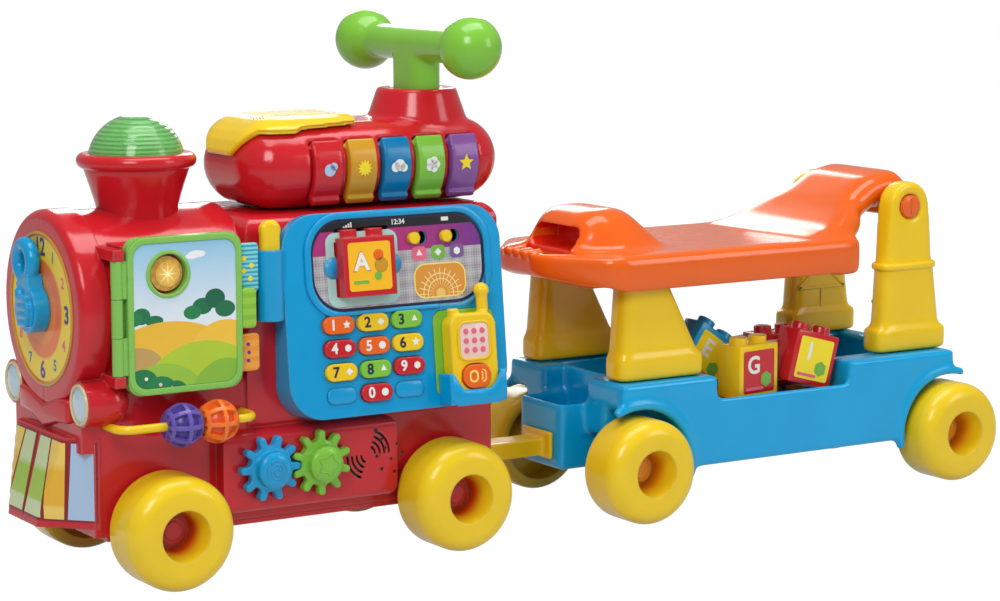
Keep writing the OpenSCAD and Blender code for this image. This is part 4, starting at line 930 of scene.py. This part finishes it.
cover_place = on_left(BOOK_X, COVER_Y, BOOK_Z)
picture = plate("cover_picture", 81, 103.5, 10, 0.3)
cut_round(picture, 15.5, (BOOK_LAMP_X - BOOK_X, BOOK_LAMP_Z - BOOK_Z, 0))
stick(picture, cover_place, "landscape", "green_plastic", "book_cover")
border = ring_plate("cover_border", 90, 113, 14, 4.6, 1.3, 0.5)
stick(border, cover_place, "book", "green_plastic", "book_cover")
stick(turned("lamp_bezel", [(14.6, 0), (14.6, 1.1), (15.6, 1.5), (17, 1.1), (17.6, 0), (14.6, 0)]),
      on_left(BOOK_LAMP_X, COVER_Y, BOOK_LAMP_Z), "book", "green_plastic", "book_cover")
LEAF_BACK, LEAF_FACE, TAB_START = -73.4, -76.2, -286.2
for name, low, high, reach, back, thick, finish, body in (
        ("tab_top", 209.8, 245, 15, LEAF_BACK, 2.8, "blue_tab", "book_leaf"),
        ("tab_bottom", 152, 178.7, 15, LEAF_BACK, 2.8, "orange_tab", "book_leaf"),
        ("tab_middle", 184.4, 212.6, 10.5, LEAF_FACE, 4.8, "green_tab", "book_cover")):
    cap = plate(name, reach + 1, high - low + 0.8, 3.2, thick, 0.6)
    stick(cap, on_left(TAB_START + (reach + 1) / 2, back, (low + high) / 2), finish, "green_plastic", body)
for end, x, z, radius, spots, finish in (
        ("top", -279, 227.4, 1.9, ((-3, 7), (3, 1.5), (-3.4, -2), (2, -8)), "lemon"),
        ("bottom", -279.5, 165.4, 1.4, ((0, 6), (0.6, 0), (0, -6)), "violet")):
    dots = [disc("dot", radius, 0.25, offset=(across, up, 0), sides=20) for across, up in spots]
    stick(joined("tab_dots_" + end, dots), on_left(x, LEAF_FACE, z), finish, "yellow_plastic", "book_leaf")


# Bead cages

def bead_cage(name, x, rib, cell, body):
    """A ball of ribs with sunk cells between them, drilled for the rod; the cells take a darker finish as
    painted shade.
    """
    middle = (x, BEAD_Y, BEAD_Z)
    clear()
    bpy.ops.mesh.primitive_uv_sphere_add(segments=8, ring_count=4, radius=BEAD_R * MM)
    cage = new_piece(name)
    cage.data.materials.append(FINISH[rib])
    cage.data.materials.append(FINISH[cell])
    edit()
    bpy.ops.mesh.select_mode(type="FACE")
    bpy.ops.mesh.inset(thickness=1.5 * MM, use_individual=True)
    cage.active_material_index = 1
    bpy.ops.object.material_slot_assign()
    bpy.ops.mesh.select_all(action="SELECT")
    bpy.ops.mesh.subdivide(number_cuts=4)
    done()
    for vertex in cage.data.vertices:
        vertex.co = vertex.co.normalized() * BEAD_R * MM
    edit()
    bpy.ops.mesh.select_all(action="DESELECT")
    bpy.ops.object.material_slot_select()
    bpy.ops.mesh.extrude_region_move()
    done()
    for vertex in cage.data.vertices:
        if vertex.select:
            vertex.co *= 0.82
    edit()
    for side in (-1, 1):
        bpy.ops.mesh.select_all(action="SELECT")
        bpy.ops.mesh.bisect(plane_co=(0, 0, side * 13 * MM), plane_no=(0, 0, side), use_fill=True,
                            clear_outer=True)
    bpy.ops.mesh.select_mode(type="VERT")
    done()
    put(cage, basis(middle, (0, 0, -1), (0, 1, 0)))
    cut_round(cage, 3.35, middle, (0, math.pi / 2, 0))
    smooth(cage, SHARP)
    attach(cage, body)
    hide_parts(body)


bead_cage("purple_cage", -337.5, "purple", "shaded_purple", "bead_purple")
bead_cage("orange_cage", -309.5, "bead_orange", "shaded_orange", "bead_orange")


# Gear faces: a spiral on the blue gear, a flower on the green one

def spiral(share):
    return 1.2 + 7.6 * share


def flower(share):
    return 7 + 1.3 * math.cos(5 * math.tau * share)


RELIEF_POINTS = 60
for color, x, reach_at, turns in (("blue", -263.5, spiral, 2.6), ("green", -221.1, flower, 1.0)):
    place, body = on_left(x, -88.3, 78), "gear_" + color
    cap = [(0, 1.9), (6, 1.7), (10, 1.1), (12.4, 0.1), (13.4, -1.4), (13.4, -2), (0, -2)]
    stick(turned("gear_cap_" + color, cap), place, color, body=body)
    clear()
    bpy.ops.curve.primitive_bezier_circle_add(radius=5 * MM)
    relief = new_piece("gear_relief_" + color)
    relief.data.splines.clear()
    line = relief.data.splines.new("POLY")
    line.points.add(RELIEF_POINTS - 1)
    for index, point in enumerate(line.points):
        share = index / (RELIEF_POINTS - 1)
        reach, spin = reach_at(share), turns * math.tau * share
        height = 1.95 - reach * reach * 0.0085
        point.co = (reach * math.cos(spin) * MM, reach * math.sin(spin) * MM, height * MM, 1)
    line.use_cyclic_u = reach_at is flower
    relief.data.bevel_depth = 0.6 * MM
    relief.data.bevel_resolution = 2
    bpy.ops.object.convert(target="MESH")
    stick(relief, place, color, body=body)


# Console

CONSOLE = basis((-156, -79, 187), (1, 0, 0), (0, 0.1132, 0.99357))


def on_console(across, up, out=0.0):
    matrix = CONSOLE.copy()
    matrix.translation = CONSOLE @ Vector((across * MM, up * MM, out * MM))
    return matrix


lip = ring_plate("screen_lip", 160, 79, 30, 5.4, 2.4, 1.1)
cut_by(lip, plate("room_for_keys", 180, 20, 0, 8, offset=(0, -47.05, -2)))
cut_by(lip, plate("room_for_phone", 42.4, 36, 0, 6, offset=(53.1, -27, 0.25)))
stick(lip, on_console(4, 36.5, -0.1), "blue")
stick(ring_plate("screen_line", 149.4, 68.4, 26, 2.2, 0.15), on_console(4, 36.5), "navy", "black_plastic")
stick(ring_plate("slot_frame", 61, 55, 8, 7, 0.25), on_console(-27, 33.6), "mist", "green_plastic")
for end, across in (("front", -52), ("rear", -2)):
    stick(disc("slot_ear_" + end, 8.2, 0.4, 0.1), on_console(across, 35), "blue")
stick(plate("tuner", 44, 25, 9, 0.1), on_console(39, 20), "tuner", "orange_plastic")
stick(ring_plate("tuner_border", 45.4, 26.4, 9.6, 1.1, 0.15), on_console(39, 20), "cream", "yellow_plastic")
for index, (finish, sides) in enumerate((("pink", 3), ("leaf", 4), ("lilac_print", 6))):
    spot = on_console(22 + 16.5 * index, 41.2)
    stick(plate("icon_%d" % index, 12, 10.5, 3, 0.2), spot, finish, "purple_plastic")
    mark = disc("icon_mark_%d" % index, 3, 0.15, offset=(0, 0, 0.2), sides=sides)
    stick(mark, spot, "white", "screen_plastic")
bars = []
for index in range(4):
    height = 1.2 + index * 0.9
    bars.append(plate("bar", 1.3, height, 0, 0.15, offset=(index * 2, height / 2, 0)))
stick(joined("signal_bars", bars), on_console(-41, 64.2), "white", "screen_plastic")
stick(plate("charge_mark", 6.4, 3, 0.6, 0.15), on_console(46, 66), "white", "screen_plastic")
lettering("screen_clock", "12:34", 5.4, 0.15, on_console(5, 66), "white", "screen_plastic")

LABEL_FACE = BLOCK_FACE + 0.3
stick(plate("block_label", 36, 36, 2.5, 0.3), on_console(-27, 35, BLOCK_FACE), "marigold", "yellow_plastic",
      "letter_block")
for name, size, out, finish in (("block_letter", 20, LABEL_FACE, "red"),
                                ("block_letter_face", 18.6, LABEL_FACE + 0.2, "white")):
    lettering(name, "A", size, 0.2, on_console(-34, 38, out), finish, "red_plastic", "letter_block")
for index, (across, up, radius, finish) in enumerate((
        (-19.5, 43, 4.2, "orange"), (-17.5, 35.5, 5.6, "ochre"), (-20.5, 27.5, 3.2, "leaf"))):
    stick(disc("block_dot_%d" % index, radius, 0.2, sides=32), on_console(across, up, LABEL_FACE), finish,
          "orange_plastic", "letter_block")
stick(plate("block_line", 13, 2.4, 1.1, 0.2), on_console(-35, 23.5, LABEL_FACE), "leaf", "green_plastic",
      "letter_block")

STAR = 5
KEY_MARKS = (24, STAR, 4, 3, 6, 24, STAR, 4, 3, 6)
DARK_DIGITS = (2, 3, 6, 7, 8)
KEYS_U, KEYS_V, KEY_STEP_U, KEY_STEP_V, LAST_ROW_V = -51.5, -7, 29, 17.5, -59.5
for number, sides in enumerate(KEY_MARKS):
    row, column = divmod(number - 1, 3)
    across, up = KEYS_U + KEY_STEP_U * column, KEYS_V - KEY_STEP_V * row
    if number == 0:
        across, up = KEYS_U + KEY_STEP_U, LAST_ROW_V
    body, top = "number_key_%d" % number, on_console(across, up, KEY_TOP)
    lettering("digit_%d" % number, str(number), 11, 0.2, top, "navy" if number in DARK_DIGITS else "white",
              "screen_plastic", body, (-5.2, 0, 0))
    name, place = "key_mark_%d" % number, (6, 0, 0)
    if sides == STAR:
        mark = disc(name, 3.4, 0.2, offset=place, sides=2 * STAR, waist=0.5)
    else:
        mark = disc(name, 2.9, 0.2, offset=place, sides=sides)
    stick(mark, top, "white", "screen_plastic", body)
for end, column in (("front", 0), ("rear", 2)):
    pad = plate("blank_pad_" + end, 25, 12.5, 6, 1.6, 1.0)
    stick(pad, on_console(KEYS_U + KEY_STEP_U * column, LAST_ROW_V, -0.2), "blue")

handset = run_soft(copy_of("phone_handset"), 0.9, 6)
cut_by(handset, put(plate("button_bore", 25, 19, 9.4, 10), on_console(PHONE_U, BUTTON_V, 7.1)))
stand_for(handset, "phone_handset", "yellow")
window = on_console(PHONE_U, PHONE_WINDOW_V, PHONE_FACE)
stick(plate("phone_window", 26, 27, 6, 0.4, 0.2), window, "blush", "screen_plastic", "phone_handset")
border = ring_plate("phone_border", 29.5, 30.5, 7.5, 2.2, 1.0, 0.4)
stick(border, window, "yellow", body="phone_handset")
dots = [disc("dot", 2.3, 0.3, 0.1, offset=(7.2 * column, 7.2 * row, 0), sides=20)
        for row in (-1, 0, 1) for column in (-1, 0, 1)]
on_window = on_console(PHONE_U, PHONE_WINDOW_V, PHONE_FACE + 0.4)
stick(joined("phone_dots", dots), on_window, "pink", "red_plastic", "phone_handset")
stick(ring_plate("button_mark", 8, 9.5, 3.8, 1.5, 0.25), on_console(54, BUTTON_V, BUTTON_FACE), "cream",
      "yellow_plastic", "phone_button")
for index in (0, 1):
    wave = ring_plate("button_wave_%d" % index, 4 + 4 * index, 7 + 3 * index, 1.9 + 1.4 * index, 1.0, 0.25)
    take(wave)
    edit()
    bpy.ops.mesh.bisect(plane_co=(0.4 * MM, 0, 0), plane_no=(1, 0, 0), use_fill=True, clear_inner=True)
    done()
    stick(wave, on_console(60 + index, BUTTON_V, BUTTON_FACE), "cream", "yellow_plastic", "phone_button")
cup = [(-25, -50), (-20.5, -51.5), (-15.5, -60), (-11, -63.9), (0, -64.6), (11, -63.9), (15.5, -60),
       (20.5, -51.5), (25, -50), (25, -70), (19, -75.5), (-19, -75.5), (-25, -70)]
stick(outline("cup_front", cup, 3.4, 1.2), on_console(PHONE_U, 0, 14.8), "blue")
for end, across in (("front", -22.7), ("rear", 22.7)):
    wall = plate("cup_wall_" + end, 4.2, 24, 1.5, 18, 1.0)
    stick(wall, on_console(PHONE_U + across, -62.5, -0.5), "blue")


# Roof, with room for its pressed end keys, and the keys' marks

roof = run_soft(copy_of("roof_shell"), 1.5, 10)
hinge = Matrix.Translation(Vector((0, -48.05, 308.55)) * MM)
pressed = hinge @ Matrix.Rotation(math.radians(4.3), 4, "X") @ hinge.inverted()
for number in (1, 5):
    cut_by(roof, put(copy_of("piano_key_%d" % number, "pressed_key"), pressed))
stand_for(roof, "roof_shell", "red")

ROOF_ARCH_Y, ROOF_ARCH_Z, ROOF_ARCH_R = -22.5, 293.8, 35
FIRST_KEY_X, ROOF_KEY_STEP = -200.5, 29.6
tilt = math.radians(-2)
petals = [(2.9, 3.3 * math.cos(a * 1.2566), 3.3 * math.sin(a * 1.2566), 16, 1.0) for a in range(5)]
for number, finish, shapes in (
        (1, "sky", [(4.6, 0, 0, 24, 1.0), (3, 3.4, 2.6, 20, 1.0)]),
        (2, "lemon", [(6.4, 0, 0, 24, 0.62)]),
        (3, "white", [(3.6, -3, -0.6, 20, 1.0), (4.4, 0.6, 1, 20, 1.0), (3.2, 4, -1, 20, 1.0)]),
        (4, "white", petals),
        (5, "lemon", [(6.6, 0, 0, 10, 0.45)])):
    parts = [disc("mark", radius, 0.9, offset=(across, up, 0), sides=sides, waist=waist)
             for radius, across, up, sides, waist in shapes]
    spot = (FIRST_KEY_X + ROOF_KEY_STEP * (number - 1), ROOF_ARCH_Y - ROOF_ARCH_R * math.cos(tilt),
            ROOF_ARCH_Z + ROOF_ARCH_R * math.sin(tilt))
    place = basis(spot, (1, 0, 0), (0, math.sin(tilt), math.cos(tilt)))
    stick(joined("piano_mark_%d" % number, parts), place, finish, "yellow_plastic", "piano_key_%d" % number)


# Visor

visor = copy_of("roof_visor")
for hand, side in HANDS:
    corners = [(side * across, up) for across, up in ((18, 296), (18, 303), (34, 320), (70, 320), (70, 296))]
    cut_by(visor, put(outline("under", corners, 130), on_front(-150, 0, 0)))
crown = visor.copy()
crown.data = visor.data.copy()
bpy.context.collection.objects.link(crown)
for vertex in crown.data.vertices:
    x, y, z = vertex.co
    vertex.co = (-0.204 + (x + 0.204) * 1.02, y * 1.03, 0.266 + (z - 0.266) * 1.045)
stand_for(run_soft(visor, 0.8, 8, [crown]), "roof_visor", "yellow")

studs = []
for index in range(28):
    for row in (0, 1):
        clear()
        bpy.ops.mesh.primitive_uv_sphere_add(segments=8, ring_count=6, radius=0.75 * MM)
        stud = bpy.context.object
        shift(stud, (-246 + 2.6 * index, -19 - 5.2 * row, 331.0 - 0.42 * row))
        studs.append(stud)
dress(joined("visor_studs", studs), "yellow", "locomotive", angle=ROUND)


# Speaker dots: black discs of painted shade where the grille's holes are

SPEAKER_X, SPEAKER_Z = -160, 80
holes = [(-171, 96, 1.7), (-166, 89, 1.4), (-170, 76, 1.4), (-163, 82, 1.2), (-158, 73, 1.3), (-153, 84, 1.2),
         (-148, 77, 1.5), (-155, 63, 1.4), (-166, 66, 1.5)]
dots = [disc("hole", radius, 0.06, offset=(x - SPEAKER_X, z - SPEAKER_Z, 0), sides=16)
        for x, z, radius in holes]
stick(joined("speaker_dots", dots), on_left(SPEAKER_X, -SKIRT_SIDE, SPEAKER_Z), "black")


# Wagon: fender lips, seat, posts and blocks

LIP = [(47.6, -6), (47.6, 1.2), (49, 2.4), (52, 2.4), (54.6, 0.6), (55, -6), (47.6, -6)]
lips = []
for end, first, last in (("front", -14, 118), ("rear", 70, 194)):
    for hand, side in HANDS:
        place = on_left(WAGON_AXLES[end], side * 84, AXLE_Z) @ Matrix.Scale(-side, 4, (0, 0, 1))
        lips.append(put(swept("lip", LIP, first, last), place))
        face_out(lips[-1])
melted("wagon_tub", "tub", 2.0, 24, lips, "blue_plastic")

hollow = put(plate("hollow", 64, 18, 8, 42, 3), on_front(62, 0, 222.5))
seat = run_soft(copy_of("seat"), 2.2, 48)
cut_by(seat, hollow)
clear()
bpy.ops.mesh.primitive_cylinder_add(vertices=40, radius=10 * MM, depth=139 * MM, rotation=(math.pi / 2, 0, 0))
pivot_rod = bpy.context.object
pivot = Matrix.Translation(Vector((SEAT_PIVOT_X, 0, SEAT_PIVOT_Z)) * MM)
put(pivot_rod, pivot @ pivot_rod.matrix_basis)
soften(pivot_rod, 0.8)
bumps = [put(capsule("bump", 4.2, 15), basis((6.5, 12 * index - 6, 211.6), (1, 0, 0.1), (0, 1, 0)))
         for index in (-1, 0, 1, 2)]
stand_for(run_soft(seat, 1.8, 3, bumps + [pivot_rod]), "seat", "seat", "orange_plastic")
for hand, side in HANDS:
    band = ring_plate("post_band_" + hand, 60.4, 25, 10.6, 4.4, 6, 2.0)
    stick(band, on_top(351.5, side * 60.5, 181), "yellow", body="wagon")
    ribs = [plate("rib", 50, 3, 1, 1), plate("rib", 3, 26, 1, 1, offset=(0, -14, 0))]
    for lean in (-1, 1):
        ribs.append(put(plate("rib", 34, 3, 1, 1), Matrix.Translation((lean * 12.5 * MM, 11 * MM, 0))
                        @ Matrix.Rotation(-lean * math.radians(40), 4, "Z")))
    inner = basis((352, side * 50.4, 152), (side, 0, 0), (0, 0, 1))
    stick(joined("post_ribs_" + hand, ribs), inner, "yellow", body="wagon")
    pivot_face = basis((SEAT_PIVOT_X, side * 69.5, SEAT_PIVOT_Z), (-side, 0, 0), (0, 0, 1))
    stick(disc("pivot_slot_" + hand, 9.4, 0.8, 0.3, sides=40), pivot_face, "orange", body="seat")
    # The pivot's groove is a thin plate in darker orange: painted shade.
    stick(plate("pivot_groove_" + hand, 1.6, 14, 0.7, 0.1, offset=(0, 0, 0.8)), pivot_face, "shaded_orange",
          "orange_plastic", "seat")

CARGO = Vector((WAGON_AXLES["front"], 0, AXLE_Z))


def middle_of(piece):
    return sum((Vector(corner) for corner in piece.bound_box), Vector()) / 8


take(copy_of("cargo_blocks", "heap"))
edit()
bpy.ops.mesh.separate(type="LOOSE")
done()
heap = list(bpy.context.selected_objects)
for name, middle, finish in (
        ("block_near_front", (103, -66, 22), "red"), ("block_far_front", (103, -27, 22), "green"),
        ("block_near_middle", (155, -66, 22), "teal"), ("block_far_middle", (155, -27, 22), "orange"),
        ("block_near_rear", (195, -54, 22), "yellow"), ("block_far_rear", (195, -2, 22), "blue"),
        ("block_leaning", (101, -24, 76), "blue"), ("block_turned", (123, -60, 70), "yellow"),
        ("block_tipped", (182, -60, 74), "red"), ("block_standing", (178, -22, 70), "red")):
    spot = (Vector(middle) + CARGO) * MM
    block = min(heap, key=lambda piece: (middle_of(piece) - spot).length)
    heap.remove(block)
    block.name = name
    soften(block, 0.9, 2)
    dress(block, finish, "wagon", "red_plastic")
    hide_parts("cargo_blocks")

for name, letter, middle, turn, lean, ground, dot, line in (
        ("leaning", "E", (101, -37, 75.2), 0, 35, "lemon", "leaf", "pink"),
        ("turned", "G", (124.8, -72.9, 66.6), 8, 0, "red", "leaf", "pink"),
        ("tipped", "I", (182, -73, 71.5), 0, 15, "lemon", "leaf", "pink"),
        ("standing", "", (178, -35, 66.6), 0, 0, "white", "pink", "teal")):
    turn, lean = math.radians(turn), math.radians(lean)
    across = (math.cos(turn) * math.cos(lean), math.sin(turn), -math.sin(lean))
    label = basis(Vector(middle) + CARGO, across, (math.sin(lean), 0, math.cos(lean)))
    stick(plate("label_" + name, 35, 35, 2, 0.3), label, ground, "yellow_plastic", "wagon")
    if letter:
        lettering("label_letter_" + name, letter, 20, 0.2, label, "white", "screen_plastic", "wagon",
                  (-6, 5, 0.3))
    spot = disc("label_dot_" + name, 6.5, 0.2, offset=(8, -7, 0.3), sides=6)
    stick(spot, label, dot, "green_plastic", "wagon")
    bar = plate("label_line_" + name, 20, 2.6, 1.2, 0.2, offset=(-5, -14, 0.3))
    stick(bar, label, line, "red_plastic", "wagon")


# Camera, light and floor

WHEEL_R, SKETCH_WHEEL_R = 42, 46
SCALE = WHEEL_R / SKETCH_WHEEL_R
AZIMUTH, ELEVATION, DISTANCE = math.radians(-32.17), math.radians(8.2), 2440 * SCALE
toward = Vector((math.sin(AZIMUTH) * math.cos(ELEVATION), -math.cos(AZIMUTH) * math.cos(ELEVATION),
                 math.sin(ELEVATION)))
target = Vector((-20.4, -8.0, 192 * SCALE))
eye = bpy.data.cameras.new("photo_view")
eye.lens = 100.8
eye.sensor_width = 36
camera = bpy.data.objects.new("photo_view", eye)
bpy.context.collection.objects.link(camera)
camera.location = (target + toward * DISTANCE) * MM
camera.rotation_euler = toward.to_track_quat("Z", "Y").to_euler()
bpy.context.scene.camera = camera


def studio_lamp(name, place, aim, size, power):
    """A rectangular lamp; places and sizes in metres."""
    clear()
    lamp = bpy.data.lights.new(name, "AREA")
    lamp.shape = "RECTANGLE"
    lamp.size, lamp.size_y = size
    lamp.energy = power
    holder = bpy.data.objects.new(name, lamp)
    bpy.context.collection.objects.link(holder)
    holder.location = place
    holder.rotation_euler = (Vector(place) - Vector(aim)).to_track_quat("Z", "Y").to_euler()


studio_lamp("key_light", (-1.5, -1.5, 1.6), (-0.1, 0, 0.18), (0.8, 1.0), 24)
studio_lamp("fill_light", (1.3, -1.7, 1.0), (0.1, 0, 0.15), (0.7, 1.0), 9)
studio_lamp("top_light", (0, -0.2, 2.0), (0, 0, 0.1), (1.8, 0.9), 25)
studio_lamp("rear_light", (0.9, 1.9, 1.1), (0, 0, 0.15), (1.0, 0.8), 12)

clear()
bpy.ops.mesh.primitive_plane_add(size=12)
floor = new_piece("studio_floor")
floor_finish, floor_tree, floor_shader = blank_finish("floor_white")
dust = node_in(floor_tree, "ShaderNodeTexNoise")
dust.inputs["Scale"].default_value = 3
paint = mix_in(floor_tree, dust.outputs["Fac"], (206, 206, 206), (214, 214, 214))
feed(floor_tree, floor_shader.inputs["Base Color"], paint)
floor_shader.inputs["Roughness"].default_value = 0.9
glow = node_in(floor_tree, "ShaderNodeEmission")
glow.inputs["Strength"].default_value = 1.13
path = node_in(floor_tree, "ShaderNodeLightPath").outputs
mirrored = Value(floor_tree, path["Is Glossy Ray"]) * 0.5
seen = mirrored.then("MAXIMUM", path["Is Camera Ray"]) * 0.88
blend = node_in(floor_tree, "ShaderNodeMixShader")
for socket, value in zip(blend.inputs, (seen, floor_shader.outputs[0], glow.outputs[0])):
    feed(floor_tree, socket, value)
feed(floor_tree, floor_tree.nodes["Material Output"].inputs["Surface"], blend.outputs[0])
floor.data.materials.append(floor_finish)

sky = bpy.data.worlds.new("studio_sky")
bpy.context.scene.world = sky
sky.use_nodes = True
sky_tree = sky.node_tree
ray = node_in(sky_tree, "ShaderNodeLightPath").outputs
shown = Value(sky_tree, ray["Is Camera Ray"]).then("MAXIMUM", ray["Is Transmission Ray"])
level = Value(sky_tree, ray["Is Glossy Ray"]) * 0.12 + 0.24 + shown * 0.76
backdrop = sky_tree.nodes["Background"]
feed(sky_tree, backdrop.inputs["Strength"], level)
backdrop.inputs["Color"].default_value = (1, 1, 1, 1)
